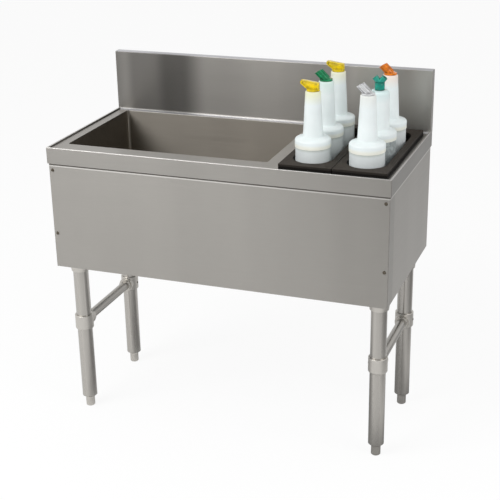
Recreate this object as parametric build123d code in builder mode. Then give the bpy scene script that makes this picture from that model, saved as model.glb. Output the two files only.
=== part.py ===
from build123d import *
import math
import os

os.makedirs("parts", exist_ok=True)

# Underbar ice chest, in millimetres. +Z is up and the front faces -Y.
# The origin is on the floor, under the middle of the overall footprint.

# Overall sizes
overall_width = 914.0
rim_height = 779.0
splash_height = 164.0
splash_depth = 23.0
body_height = 331.0

# Sheet metal
sheet = 1.5
channel_sheet = 2.5

# Rim: raised lip, sunken deck and outer apron
apron_height = 43.0
lip_width = 5.0
lip_round = 1.2
deck_drop = 4.5
cove_radius = 7.0
opening_round = 1.0
splash_bend = 2.0
splash_return = 28.0
rim_corner = 2.0

# Ice basin
left_deck = 32.0
middle_deck = 43.0
front_deck = 61.0
back_ledge = 2.0
floor_rise = 19.0
basin_corner = 8.0
liner_flange = 12.0
liner_back_flange = 8.0

# Bottle inserts and the well that they hang in
insert_gap = 1.0
insert_margin = 10.0
insert_back_gap = 10.0
insert_ledge = 12.0
insert_seat = 0.3
plate_layer = 6.0
plate_groove = 1.5
plate_corner = 3.0
plate_chamfer = 0.8
slot_side_gap = 7.0
slot_front_gap = 4.0
slot_rear_space = 39.0
tub_wall = 2.5
tub_side_gap = 3.0
tub_front_gap = 8.5
tub_rear_gap = 10.5
tub_depth = 115.0
web_thickness = 4.0
web_height = 60.0
tub_drain_radius = 2.5
tub_drain_ring = 14.0
under_tub = 35.0
well_corner = 10.0
well_bend = 8.0

# Pour bottles
jar_radius = 43.0
jar_height = 157.0
jar_wall = 2.0
jar_foot_radius = 5.0
finish_step = 2.5
finish_height = 18.0
bottle_gap = 19.2
collar_wall = 3.4
collar_roof = 3.5
collar_round = 6.0
thread_gap = 0.5
rest_gap = 0.3
neck_base_radius = 24.5
neck_top_radius = 18.9
neck_height = 112.0
neck_wall = 1.8
neck_rise = 3.0
neck_round = 3.0
neck_mouth = 13.5
wide_neck_height = 98.0
wide_neck_base_radius = 26.0
wide_neck_top_radius = 25.0
wide_neck_round = 9.0
wide_neck_mouth = 10.5

# Pour spouts
spout_ring_radius = 16.0
spout_ring_height = 4.5
spout_plug = 8.0
spout_bore = 2.7
mouth_wall = 2.0
mouth_depth = 3.0
wide_spout_radius = 12.2
wide_spout_height = 18.0
flip_tilt = 56.0
flip_length = 34.0
flip_mouth = 9.0
flip_width = 14.0
flip_foot = 14.0
flip_tail = 14.5
flip_tail_rise = 15.0
flip_round = 2.0
flip_border = 2.2
flip_recess = 2.5
flip_nozzle = 2.5
ribbed_tilt = 46.0
ribbed_mouth_tilt = 30.0
ribbed_width = 22.0
ribbed_thickness = 18.0
ribbed_length = 29.0
ribbed_shift = 1.0
rib_count = 10
rib_width = 2.6
rib_height = 1.4
forked_tilt = 38.0
forked_width = 15.0
forked_thickness = 15.0
forked_length = 20.0

# Panels
panel_inset = 3.0
rear_inset = 2.0
panel_bend = 2.0
front_return = 45.0
seam_gap = 0.5
panel_flange = 12.0
corner_flange = 22.0
rear_flange = 20.0
rear_notch = 25.0
side_lap = 15.0
socket_notch = 36.0
screw_inset = 10.0
screw_head_radius = 4.5
screw_head_height = 1.9
screw_head_taper = 25.0
screw_radius = 2.1
screw_length = 5.0
screw_clearance = 0.2
upper_screw_drop = 18.0
lower_screw_rise = 95.0
rear_screw_rise = 50.0

# Bottom pan, leg channels and insulation
pan_rise = 22.0
pan_flange = 18.0
foam_gap = 1.0
foam_thickness = 26.0
channel_end_gap = 3.0

# Drain
drain_flange_radius = 38.0
drain_flange_height = 2.0
drain_thread_radius = 19.0
drain_thread_length = 24.5
drain_tail_radius = 16.7
drain_tail_length = 38.5
drain_bore_radius = 13.0
drain_hole_gap = 0.8
gasket_radius = 30.0
gasket_height = 3.0
locknut_flats = 54.0
locknut_height = 8.0
locknut_fit = 0.1
foam_drain_radius = 40.0
strainer_radius = 33.0
strainer_height = 2.0
strainer_hole_radius = 2.0
strainer_hole_pitch = 8.0
strainer_rings = 3
strainer_skirt = 6.0
strainer_gap = 0.3

# Legs, side rails and feet
leg_radius = 20.65
leg_wall = 1.5
front_leg_setback = 65.0
leg_spacing = 289.0
tube_fit = 0.1
socket_plate = 64.0
socket_plate_thickness = 4.0
socket_side_gap = 1.5
socket_top_wall = 7.35
socket_bottom_wall = 3.85
socket_drop = 30.0
socket_screw_rise = 10.0
tube_top_gap = 1.0
socket_bolt_pitch = 50.0
bolt_radius = 3.0
bolt_clearance = 0.3
bolt_head_flats = 10.0
bolt_head_height = 4.0
bolt_length = 12.0
rail_height = 264.0
tee_wall = 4.35
tee_height = 42.0
tee_round = 4.0
tee_chamfer = 1.0
tee_boss_wall = 7.3
tee_boss_reach = 4.0
tee_socket_wall = 4.5
tee_socket_reach = 13.0
rail_radius = 12.7
rail_wall = 1.5
rail_insertion = 10.5
rail_end_gap = 0.5
set_screw_radius = 3.0
set_screw_length = 5.0
set_screw_gap = 0.1
hex_key_flats = 3.0
foot_tip_radius = 12.5
foot_tip_height = 23.0
foot_shoulder_height = 11.0
foot_gap = 0.5
foot_chamfer = 2.0
shoulder_arc_radius = 12.0
stem_radius = 6.0
stem_length = 52.0
stem_fit = 0.05
plug_height = 26.0
plug_fit = 0.1

# Levels and faces worked out from the sizes above
half_width = overall_width / 2
finish_radius = jar_radius - finish_step
collar_radius = finish_radius + thread_gap + collar_wall
collar_height = finish_height + thread_gap + collar_roof
bottle_pitch = 2 * collar_radius + bottle_gap
slot_width = 2 * (jar_radius + slot_side_gap)
slot_length = slot_front_gap + 2 * jar_radius + 2 * bottle_pitch + slot_rear_space
slot_front_border = insert_ledge + tub_front_gap + tub_wall
slot_rear_border = insert_ledge + tub_rear_gap + tub_wall
insert_width = slot_width + 2 * (insert_ledge + tub_side_gap + tub_wall)
insert_length = slot_front_border + slot_length + slot_rear_border
overall_depth = (
    lip_width + insert_margin + insert_length + insert_back_gap + cove_radius + splash_depth
)
front_face = -overall_depth / 2
back_face = overall_depth / 2
splash_face = back_face - splash_depth
deck_top = rim_height - deck_drop
deck_under = deck_top - sheet
apron_bottom = rim_height - apron_height
panel_bottom = rim_height - body_height
panel_x = half_width - panel_inset
panel_front = front_face + panel_inset
panel_back = back_face - rear_inset
pan_under = panel_bottom + pan_rise
pan_top = pan_under + sheet

inserts_right = half_width - lip_width - insert_margin
insert_front = front_face + lip_width + insert_margin
insert_y = insert_front + insert_length / 2
insert_centres = {
    "left": inserts_right - insert_gap - 1.5 * insert_width,
    "right": inserts_right - 0.5 * insert_width,
}
inserts_left = inserts_right - insert_gap - 2 * insert_width

basin_left = -half_width + left_deck
basin_right = inserts_left - middle_deck
basin_front = front_face + front_deck
basin_back = splash_face - cove_radius - back_ledge
basin_floor = pan_top + floor_rise
basin_x = (basin_left + basin_right) / 2
basin_y = (basin_front + basin_back) / 2
basin_length = basin_right - basin_left
basin_width = basin_back - basin_front

well_left = inserts_left + insert_ledge
well_right = inserts_right - insert_ledge
well_x = (well_left + well_right) / 2
well_length = insert_length - 2 * insert_ledge
well_floor = deck_top - tub_depth - under_tub
plate_bottom = deck_top + insert_seat
plate_height = 2 * plate_layer + plate_groove
plate_top = plate_bottom + plate_height
tub_bottom = deck_top - tub_depth
slot_front = insert_front + slot_front_border
slot_y = slot_front + slot_length / 2

jar_bottom = tub_bottom + tub_wall + insert_seat
jar_shoulder = jar_bottom + jar_height
finish_top = jar_shoulder + finish_height
collar_top = jar_shoulder + collar_height
neck_base = collar_top + neck_rise
first_bottle_y = slot_front + slot_front_gap + jar_radius
bottle_ys = {
    "front": first_bottle_y,
    "middle": first_bottle_y + bottle_pitch,
    "rear": first_bottle_y + 2 * bottle_pitch,
}
bottle_places = {
    f"{side}_{row}": (x, y)
    for side, x in insert_centres.items()
    for row, y in bottle_ys.items()
}

return_y = panel_front + front_return
lap_end = return_y + side_lap

leg_x = panel_x - sheet - socket_side_gap - socket_plate / 2
front_leg_y = front_face + front_leg_setback
rear_leg_y = front_leg_y + leg_spacing
leg_places = {
    "front_left": (-leg_x, front_leg_y),
    "front_right": (leg_x, front_leg_y),
    "rear_left": (-leg_x, rear_leg_y),
    "rear_right": (leg_x, rear_leg_y),
}
socket_bottom = panel_bottom - socket_drop
socket_screw_z = socket_bottom + socket_screw_rise
channel_bottom = panel_bottom + socket_plate_thickness
foot_height = foot_tip_height + foot_shoulder_height
tube_bottom = foot_height + foot_gap


def block(x, y, z, mode=Mode.ADD):
    """Add a box that spans three ranges, each given by its two ends in any order."""
    spans = [sorted(ends) for ends in (x, y, z)]
    with Locations(tuple((low + high) / 2 for low, high in spans)):
        Box(*(high - low for low, high in spans), mode=mode)


def upright(x, y):
    """Plane through a vertical axis: its X is the radius and its Y is the height."""
    return Plane(origin=(x, y, 0), x_dir=(1, 0, 0), z_dir=(0, -1, 0))


def vertical_axis(x, y):
    return Axis((x, y, 0), (0, 0, 1))


def export(part, label):
    part.label = label
    export_step(part, f"parts/{label}.step")


# Rim and deck, one folded sheet

with BuildPart() as rim_deck:
    with BuildSketch(Plane.XY.offset(apron_bottom)):
        Rectangle(overall_width, overall_depth)
    extrude(amount=apron_height)
    fillet(rim_deck.edges().filter_by(Axis.Z), rim_corner)
    lip_x = half_width - lip_width
    block((-lip_x, lip_x), (front_face + lip_width, splash_face), (deck_top, rim_height), Mode.SUBTRACT)
    block((-half_width, half_width), (splash_face, back_face), (deck_top, rim_height), Mode.SUBTRACT)
    lip_edges = rim_deck.faces().sort_by(Axis.Z)[-1].edges()
    fillet(lip_edges.filter_by(lambda edge: edge.center().Y < splash_face), lip_round)
    hollow_x = half_width - sheet
    hollow_y = (front_face + sheet, back_face - sheet)
    block((-hollow_x, hollow_x), hollow_y, (apron_bottom, deck_under), Mode.SUBTRACT)
    # The lip is folded, so a narrow channel runs up inside it on three sides.
    channel_z = (deck_under, rim_height - sheet)
    lip_inside = half_width - lip_width + sheet
    lip_front = (front_face + sheet, front_face + lip_width - sheet)
    lip_side_y = (front_face + sheet, splash_face - sheet)
    block((-hollow_x, hollow_x), lip_front, channel_z, Mode.SUBTRACT)
    for sign in (-1, 1):
        block((sign * lip_inside, sign * hollow_x), lip_side_y, channel_z, Mode.SUBTRACT)
    with BuildSketch(Plane.XY.offset(deck_under)):
        with Locations((basin_x, basin_y)):
            RectangleRounded(basin_length, basin_width, basin_corner)
        with Locations((well_x, insert_y)):
            RectangleRounded(well_right - well_left, well_length, well_corner)
    extrude(amount=sheet, mode=Mode.SUBTRACT)
    front_deck_middle = (basin_x, (front_face + basin_front) / 2, deck_top)
    deck_face = rim_deck.faces().sort_by_distance(front_deck_middle)[0]
    fillet(deck_face.inner_wires().edges(), opening_round)
export(rim_deck.part, "rim_deck")


# Backsplash, an open-backed box with a coved foot

splash_top = rim_height + splash_height
with BuildPart() as backsplash:
    block((-half_width, half_width), (splash_face, back_face), (deck_top, splash_top))
    top_front_edge = backsplash.edges().filter_by(Axis.X).group_by(Axis.Y)[0].sort_by(Axis.Z)[-1]
    fillet(top_front_edge, splash_bend)
    block(
        (sheet - half_width, half_width - sheet),
        (splash_face + sheet, back_face),
        (deck_top, splash_top - sheet),
        Mode.SUBTRACT,
    )
    block(
        (sheet - half_width, half_width - sheet),
        (back_face - sheet, back_face),
        (splash_top - splash_return, splash_top - sheet),
    )
    with BuildSketch(Plane.YZ.offset(lip_width - half_width)):
        with BuildLine():
            Line((splash_face, deck_top), (splash_face - cove_radius, deck_top))
            RadiusArc(
                (splash_face - cove_radius, deck_top),
                (splash_face, deck_top + cove_radius),
                -cove_radius,
            )
            Line((splash_face, deck_top + cove_radius), (splash_face, deck_top))
        make_face()
    extrude(amount=overall_width - 2 * lip_width)
export(backsplash.part, "backsplash")


# Outer panels

upper_screw_z = apron_bottom - upper_screw_drop
front_screw_points = [
    (sign * (panel_x - screw_inset), z)
    for sign in (-1, 1)
    for z in (upper_screw_z, panel_bottom + lower_screw_rise)
]
lower_rear_z = panel_bottom + rear_screw_rise
rear_screw_points = [
    (sign * (panel_x - rear_flange / 2), z)
    for sign in (-1, 1)
    for z in (upper_screw_z, (upper_screw_z + lower_rear_z) / 2, lower_rear_z)
]


def facing_front(y):
    """Upright plane at depth y: its X is the width and its Y is the height."""
    return Plane(origin=(0, y, 0), x_dir=(1, 0, 0), z_dir=(0, -1, 0))


def screw_holes(face_y, inward, points):
    """Drill the open part from a vertical face; inward is +1 towards +Y."""
    with BuildSketch(facing_front(face_y)) as holes:
        with Locations(*points):
            Circle(screw_radius + screw_clearance)
    extrude(holes.sketch, amount=-inward * 2 * sheet, mode=Mode.SUBTRACT)


with BuildPart() as front_panel:
    block((-panel_x, panel_x), (panel_front, return_y), (panel_bottom, deck_under))
    front_corners = front_panel.edges().filter_by(Axis.Z).group_by(Axis.Y)[0]
    fillet(front_corners, panel_bend)
    block(
        (sheet - panel_x, panel_x - sheet),
        (panel_front + sheet, return_y),
        (panel_bottom, deck_under),
        Mode.SUBTRACT,
    )
    flange_x = panel_x - sheet - corner_flange - seam_gap
    block(
        (-flange_x, flange_x),
        (panel_front, panel_front + panel_flange),
        (panel_bottom, panel_bottom + sheet),
    )
    screw_holes(panel_front, 1, front_screw_points)
export(front_panel.part, "front_panel")

for side, sign in (("left", -1), ("right", 1)):
    with BuildPart() as side_panel:
        outer = sign * panel_x
        inner = sign * (panel_x - sheet)
        lap = sign * (panel_x - 2 * sheet)
        full_height = (panel_bottom, deck_under)
        block((inner, outer), (return_y + seam_gap, panel_back), full_height)
        # A joggled lap runs behind the front panel's return, round the corner.
        block((lap, inner), (panel_front + sheet, lap_end), full_height)
        block(
            (inner, sign * (panel_x - sheet - corner_flange)),
            (panel_front + sheet, panel_front + 2 * sheet),
            full_height,
        )
        block(
            (outer, sign * (panel_x - rear_flange)),
            (panel_back - sheet, panel_back),
            (panel_bottom + rear_notch, deck_under),
        )
        block(
            (outer, sign * (panel_x - panel_flange)),
            (lap_end, panel_back),
            (panel_bottom, panel_bottom + sheet),
        )
        for leg_y in (front_leg_y, rear_leg_y):
            block(
                (inner, sign * (panel_x - panel_flange)),
                (leg_y - socket_notch, leg_y + socket_notch),
                (panel_bottom, panel_bottom + sheet),
                Mode.SUBTRACT,
            )
        screw_holes(panel_front, 1, front_screw_points)
        screw_holes(panel_back, -1, rear_screw_points)
    export(side_panel.part, f"{side}_side_panel")

with BuildPart() as rear_panel:
    rear_x = panel_x - sheet - seam_gap
    block(
        (-rear_x, rear_x),
        (panel_back - 2 * sheet, panel_back - sheet),
        (panel_bottom + rear_notch, deck_under),
    )
    screw_holes(panel_back, -1, rear_screw_points)
export(rear_panel.part, "rear_panel")


def pan_head_screws(face_y, outward, points):
    """Add a shank and a domed head at each point; outward is -1 towards -Y."""
    with BuildSketch(facing_front(face_y)) as shanks:
        with Locations(*points):
            Circle(screw_radius)
    extrude(shanks.sketch, amount=outward * screw_length)
    with BuildSketch(facing_front(face_y)) as heads:
        with Locations(*points):
            Circle(screw_head_radius)
    extrude(heads.sketch, amount=-outward * screw_head_height, taper=screw_head_taper)


with BuildPart() as front_panel_screws:
    pan_head_screws(panel_front, -1, front_screw_points)
export(front_panel_screws.part, "front_panel_screws")

with BuildPart() as rear_panel_screws:
    pan_head_screws(panel_back, 1, rear_screw_points)
export(rear_panel_screws.part, "rear_panel_screws")


# Bottom pan, leg channels and insulation

pan_x = panel_x - 2 * sheet
pan_y = (panel_front + 2 * sheet, panel_back - 2 * sheet)
with BuildPart() as bottom_pan:
    block((-pan_x, pan_x), pan_y, (pan_under, pan_under + pan_flange))
    block(
        (sheet - pan_x, pan_x - sheet),
        (pan_y[0] + sheet, pan_y[1] - sheet),
        (pan_top, pan_under + pan_flange),
        Mode.SUBTRACT,
    )
    with Locations((basin_x, basin_y, pan_under + sheet / 2)):
        Cylinder(drain_thread_radius + drain_hole_gap, sheet, mode=Mode.SUBTRACT)
export(bottom_pan.part, "bottom_pan")

bolt_offset = socket_bolt_pitch / 2
bolt_points = [
    (x + dx, y + dy)
    for x, y in leg_places.values()
    for dx in (-bolt_offset, bolt_offset)
    for dy in (-bolt_offset, bolt_offset)
]


def bolt_holes(bottom, height):
    with BuildSketch(Plane.XY.offset(bottom)) as holes:
        with Locations(*bolt_points):
            Circle(bolt_radius + bolt_clearance)
    extrude(holes.sketch, amount=height, mode=Mode.SUBTRACT)


channel_y = (pan_y[0] + channel_end_gap, pan_y[1] - channel_end_gap)
for side, sign in (("left", -1), ("right", 1)):
    with BuildPart() as leg_channel:
        middle = sign * leg_x
        half = socket_plate / 2
        block((middle - half, middle + half), channel_y, (channel_bottom, pan_under))
        block(
            (middle - half + channel_sheet, middle + half - channel_sheet),
            channel_y,
            (channel_bottom + channel_sheet, pan_under),
            Mode.SUBTRACT,
        )
        bolt_holes(channel_bottom, channel_sheet)
    export(leg_channel.part, f"{side}_leg_channel")

foam_top = deck_under - sheet - foam_gap
foam_x = pan_x - sheet - foam_gap
foam_y = (pan_y[0] + sheet + foam_gap, pan_y[1] - sheet - foam_gap)
foam_clear = sheet + foam_gap
foam_reach = foam_clear + foam_thickness
with BuildPart() as insulation:
    block(
        (max(basin_left - foam_reach, -foam_x), basin_right + foam_reach),
        (max(basin_front - foam_reach, foam_y[0]), min(basin_back + foam_reach, foam_y[1])),
        (pan_top, foam_top),
    )
    block(
        (well_left - foam_reach, min(well_right + foam_reach, foam_x)),
        (
            max(insert_y - well_length / 2 - foam_reach, foam_y[0]),
            min(insert_y + well_length / 2 + foam_reach, foam_y[1]),
        ),
        (well_floor - foam_reach, foam_top),
    )
    block(
        (basin_left - foam_clear, basin_right + foam_clear),
        (basin_front - foam_clear, basin_back + foam_clear),
        (basin_floor - foam_clear, foam_top),
        Mode.SUBTRACT,
    )
    block(
        (well_left - foam_clear, well_right + foam_clear),
        (insert_y - well_length / 2 - foam_clear, insert_y + well_length / 2 + foam_clear),
        (well_floor - foam_clear, foam_top),
        Mode.SUBTRACT,
    )
    with BuildSketch(Plane.XY.offset(pan_top)):
        with Locations((basin_x, basin_y)):
            Circle(foam_drain_radius)
    extrude(amount=basin_floor - pan_top, mode=Mode.SUBTRACT)
export(insulation.part, "insulation")


# Liners

with BuildPart() as ice_liner:
    with BuildSketch(Plane.XY.offset(basin_floor - sheet)):
        with Locations((basin_x, basin_y)):
            RectangleRounded(basin_length + 2 * sheet, basin_width + 2 * sheet, basin_corner + sheet)
    extrude(amount=deck_under - basin_floor + sheet)
    fillet(ice_liner.faces().sort_by(Axis.Z)[0].edges(), basin_corner + sheet)
    offset(amount=-sheet, openings=ice_liner.faces().sort_by(Axis.Z)[-1])
    with BuildSketch(Plane.XY.offset(deck_under - sheet)):
        with Locations((basin_x, basin_y)):
            RectangleRounded(
                basin_length + 2 * (sheet + liner_flange),
                basin_width + 2 * liner_back_flange,
                basin_corner,
            )
            RectangleRounded(basin_length, basin_width, basin_corner, mode=Mode.SUBTRACT)
    extrude(amount=sheet)
    with Locations((basin_x, basin_y, basin_floor - sheet / 2)):
        Cylinder(drain_thread_radius + drain_hole_gap, sheet, mode=Mode.SUBTRACT)
export(ice_liner.part, "ice_liner")

with BuildPart() as bottle_well_liner:
    well_size = (well_right - well_left, well_length)
    with BuildSketch(Plane.XY.offset(well_floor - sheet)):
        with Locations((well_x, insert_y)):
            RectangleRounded(well_size[0] + 2 * sheet, well_size[1] + 2 * sheet, well_corner + sheet)
    extrude(amount=deck_under - well_floor + sheet)
    well_bottom_edges = bottle_well_liner.faces().sort_by(Axis.Z)[0].edges()
    fillet(well_bottom_edges, min(well_bend, well_corner) + sheet)
    offset(amount=-sheet, openings=bottle_well_liner.faces().sort_by(Axis.Z)[-1])
    with BuildSketch(Plane.XY.offset(deck_under - sheet)):
        with Locations((well_x, insert_y)):
            RectangleRounded(
                well_size[0] + 2 * (sheet + liner_flange),
                well_size[1] + 2 * (sheet + liner_flange),
                well_corner,
            )
            RectangleRounded(*well_size, well_corner, mode=Mode.SUBTRACT)
    extrude(amount=sheet)
export(bottle_well_liner.part, "bottle_well_liner")


# Drain: flanged body, gasket, locknut and lift-out strainer

drain_place = (basin_x, basin_y)
with BuildPart() as drain_body:
    with BuildSketch(Plane.XY.offset(basin_floor)):
        with Locations(drain_place):
            Circle(drain_flange_radius)
    extrude(amount=drain_flange_height)
    chamfer(drain_body.edges().sort_by(Axis.Z)[-1], drain_flange_height / 2)
    with BuildSketch(Plane.XY.offset(basin_floor)):
        with Locations(drain_place):
            Circle(drain_thread_radius)
    extrude(amount=-drain_thread_length)
    with BuildSketch(Plane.XY.offset(basin_floor - drain_thread_length)):
        with Locations(drain_place):
            Circle(drain_tail_radius)
    extrude(amount=-drain_tail_length)
    with BuildSketch(Plane.XY.offset(basin_floor + drain_flange_height)):
        with Locations(drain_place):
            Circle(drain_bore_radius)
    drain_length = drain_flange_height + drain_thread_length + drain_tail_length
    extrude(amount=-drain_length, mode=Mode.SUBTRACT)
export(drain_body.part, "drain_body")

gasket_bottom = basin_floor - sheet - gasket_height
with BuildPart() as drain_gasket:
    with BuildSketch(Plane.XY.offset(gasket_bottom)):
        with Locations(drain_place):
            Circle(gasket_radius)
            Circle(drain_thread_radius + drain_hole_gap, mode=Mode.SUBTRACT)
    extrude(amount=gasket_height)
export(drain_gasket.part, "drain_gasket")

with BuildPart() as drain_locknut:
    with BuildSketch(Plane.XY.offset(gasket_bottom - locknut_height)):
        with Locations(drain_place):
            RegularPolygon(locknut_flats / 2, 6, major_radius=False)
            Circle(drain_thread_radius + locknut_fit, mode=Mode.SUBTRACT)
    extrude(amount=locknut_height)
export(drain_locknut.part, "drain_locknut")

strainer_bottom = basin_floor + drain_flange_height + strainer_gap
with BuildPart() as drain_strainer:
    with BuildSketch(Plane.XY.offset(strainer_bottom)):
        with Locations(drain_place):
            Circle(strainer_radius)
    extrude(amount=strainer_height)
    with BuildSketch(Plane.XY.offset(strainer_bottom - strainer_skirt)):
        with Locations(drain_place):
            Circle(drain_bore_radius - strainer_gap)
            Circle(drain_bore_radius - strainer_gap - sheet, mode=Mode.SUBTRACT)
    extrude(amount=strainer_skirt)
    with BuildSketch(Plane.XY.offset(strainer_bottom)):
        with Locations(drain_place):
            Circle(strainer_hole_radius)
            for ring in range(1, strainer_rings + 1):
                with PolarLocations(ring * strainer_hole_pitch, 6 * ring):
                    Circle(strainer_hole_radius)
    extrude(amount=strainer_height, mode=Mode.SUBTRACT)
export(drain_strainer.part, "drain_strainer")


# Leg sockets, tubes, rail tees, plugs and feet

socket_top_radius = leg_radius + socket_top_wall
tee_radius = leg_radius + tee_wall
rail_start = tee_radius + tee_socket_reach - rail_insertion
for place, (x, y) in leg_places.items():
    with BuildPart() as leg_socket:
        plate = socket_plate / 2
        block((x - plate, x + plate), (y - plate, y + plate), (panel_bottom, channel_bottom))
        with BuildSketch(upright(x, y)):
            with BuildLine():
                Polyline(
                    (leg_radius + tube_fit, panel_bottom),
                    (leg_radius + tube_fit, socket_bottom),
                    (leg_radius + socket_bottom_wall, socket_bottom),
                    (socket_top_radius, panel_bottom),
                    close=True,
                )
            make_face()
        revolve(axis=vertical_axis(x, y))
        bolt_holes(panel_bottom, socket_plate_thickness)
        with BuildSketch(Plane(origin=(x, y, socket_screw_z), x_dir=(0, 1, 0), z_dir=(-1, 0, 0))):
            Circle(set_screw_radius + set_screw_gap)
        extrude(amount=socket_top_radius, mode=Mode.SUBTRACT)
    export(leg_socket.part, f"leg_socket_{place}")

    with BuildPart() as leg_tube:
        with BuildSketch(Plane.XY.offset(tube_bottom)):
            with Locations((x, y)):
                Circle(leg_radius)
                Circle(leg_radius - leg_wall, mode=Mode.SUBTRACT)
        extrude(amount=panel_bottom - tube_top_gap - tube_bottom)
    export(leg_tube.part, f"leg_{place}")

    with BuildPart() as rail_tee:
        facing = 1 if y == front_leg_y else -1
        with BuildSketch(Plane.XY.offset(rail_height - tee_height / 2)):
            with Locations((x, y)):
                Circle(tee_radius)
        extrude(amount=tee_height)
        fillet(rail_tee.edges().sort_by(Axis.Z)[0], tee_round)
        chamfer(rail_tee.edges().sort_by(Axis.Z)[-1], tee_chamfer)
        boss_plane = Plane(origin=(x, y, rail_height), x_dir=(1, 0, 0), z_dir=(0, facing, 0))
        with BuildSketch(boss_plane):
            Circle(rail_radius + tee_boss_wall)
        extrude(amount=tee_radius + tee_boss_reach)
        with BuildSketch(boss_plane):
            Circle(rail_radius + tee_socket_wall)
        extrude(amount=tee_radius + tee_socket_reach)
        with BuildSketch(Plane.XY.offset(rail_height - tee_height / 2)):
            with Locations((x, y)):
                Circle(leg_radius + tube_fit)
        extrude(amount=tee_height, mode=Mode.SUBTRACT)
        with BuildSketch(boss_plane.offset(rail_start - rail_end_gap)):
            Circle(rail_radius + tube_fit)
        extrude(amount=rail_insertion + rail_end_gap, mode=Mode.SUBTRACT)
        screw_plane = Plane(origin=(x, y, rail_height), x_dir=(0, 1, 0), z_dir=(-facing, 0, 0))
        with BuildSketch(screw_plane):
            Circle(set_screw_radius + set_screw_gap)
        extrude(amount=tee_radius, mode=Mode.SUBTRACT)
    export(rail_tee.part, f"rail_tee_{place}")

    with BuildPart() as foot:
        with BuildSketch(upright(x, y)):
            with BuildLine():
                Polyline(
                    (0, foot_height + stem_length),
                    (0, 0),
                    (foot_tip_radius - foot_chamfer, 0),
                    (foot_tip_radius, foot_chamfer),
                    (foot_tip_radius, foot_tip_height),
                )
                RadiusArc(
                    (foot_tip_radius, foot_tip_height),
                    (leg_radius, foot_height),
                    shoulder_arc_radius,
                )
                Polyline(
                    (leg_radius, foot_height),
                    (stem_radius, foot_height),
                    (stem_radius, foot_height + stem_length),
                    (0, foot_height + stem_length),
                )
            make_face()
        revolve(axis=vertical_axis(x, y))
    export(foot.part, f"foot_{place}")

with BuildPart() as foot_plugs:
    with BuildSketch(Plane.XY.offset(tube_bottom)):
        with Locations(*leg_places.values()):
            Circle(leg_radius - leg_wall - plug_fit)
        with Locations(*leg_places.values()):
            Circle(stem_radius + stem_fit, mode=Mode.SUBTRACT)
    extrude(amount=plug_height)
export(foot_plugs.part, "foot_plugs")

for side, x in (("left", -leg_x), ("right", leg_x)):
    with BuildPart() as side_rail:
        rail_end = (x, front_leg_y + rail_start, rail_height)
        with BuildSketch(Plane(origin=rail_end, x_dir=(1, 0, 0), z_dir=(0, 1, 0))):
            Circle(rail_radius)
            Circle(rail_radius - rail_wall, mode=Mode.SUBTRACT)
        extrude(amount=leg_spacing - 2 * rail_start)
    export(side_rail.part, f"{side}_side_rail")


# Fasteners of the legs

with BuildPart() as leg_socket_bolts:
    with BuildSketch(Plane.XY.offset(panel_bottom)):
        with Locations(*bolt_points):
            Circle(bolt_radius)
    extrude(amount=bolt_length)
    with BuildSketch(Plane.XY.offset(panel_bottom - bolt_head_height)):
        with Locations(*bolt_points):
            RegularPolygon(bolt_head_flats / 2, 6, major_radius=False)
    extrude(amount=bolt_head_height)
export(leg_socket_bolts.part, "leg_socket_bolts")

with BuildPart() as set_screws:
    for x, y in leg_places.values():
        facing = 1 if y == front_leg_y else -1
        for z, direction in ((socket_screw_z, -1), (rail_height, -facing)):
            start = x + direction * leg_radius
            with BuildSketch(Plane(origin=(start, y, z), x_dir=(0, 1, 0), z_dir=(direction, 0, 0))):
                Circle(set_screw_radius)
            extrude(amount=set_screw_length)
            with BuildSketch(Plane(origin=(start, y, z), x_dir=(0, 1, 0), z_dir=(direction, 0, 0))):
                RegularPolygon(hex_key_flats / 2, 6, major_radius=False)
            extrude(amount=set_screw_length, mode=Mode.SUBTRACT)
export(set_screws.part, "set_screws")


# Bottle inserts

for side, x in insert_centres.items():
    with BuildPart() as insert:
        with BuildSketch(Plane.XY.offset(plate_bottom)):
            with Locations((x, insert_y)):
                RectangleRounded(insert_width, insert_length, plate_corner)
        extrude(amount=plate_height)
        chamfer(insert.faces().sort_by(Axis.Z)[-1].edges(), plate_chamfer)
        with BuildSketch(Plane.XY.offset(plate_bottom + plate_layer)):
            with Locations((x, insert_y)):
                Rectangle(insert_width, insert_length)
                RectangleRounded(
                    insert_width - 2 * plate_groove,
                    insert_length - 2 * plate_groove,
                    plate_corner,
                    mode=Mode.SUBTRACT,
                )
        extrude(amount=plate_groove, mode=Mode.SUBTRACT)
        with BuildSketch(Plane.XY.offset(tub_bottom)):
            with Locations((x, slot_y)):
                SlotOverall(slot_length + 2 * tub_wall, slot_width + 2 * tub_wall, rotation=90)
        extrude(amount=plate_bottom - tub_bottom)
        with BuildSketch(Plane.XY.offset(tub_bottom + tub_wall)):
            with Locations((x, slot_y)):
                SlotOverall(slot_length, slot_width, rotation=90)
        extrude(amount=plate_top - tub_bottom, mode=Mode.SUBTRACT)
        for row in ("front", "middle"):
            web_y = bottle_ys[row] + bottle_pitch / 2
            block(
                (x - slot_width / 2, x + slot_width / 2),
                (web_y - web_thickness / 2, web_y + web_thickness / 2),
                (tub_bottom + tub_wall, tub_bottom + tub_wall + web_height),
            )
        with BuildSketch(Plane.XY.offset(tub_bottom)):
            with Locations(*((x, row_y) for row_y in bottle_ys.values())):
                with PolarLocations(tub_drain_ring, 4):
                    Circle(tub_drain_radius)
        extrude(amount=tub_wall, mode=Mode.SUBTRACT)
    export(insert.part, f"{side}_bottle_insert")


# Pour bottles: jar, screwed-on neck and push-in spout

spout_kinds = {
    "left_front": "flip",
    "left_middle": "ribbed",
    "left_rear": "flip",
    "right_front": "ribbed",
    "right_middle": "forked",
    "right_rear": "ribbed",
}


def leaning(x, y, z, tilt):
    """Plane whose Z axis leans from the vertical by tilt degrees towards -X."""
    return Plane((x, y, z)).rotated((0, -tilt, 0))


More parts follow.
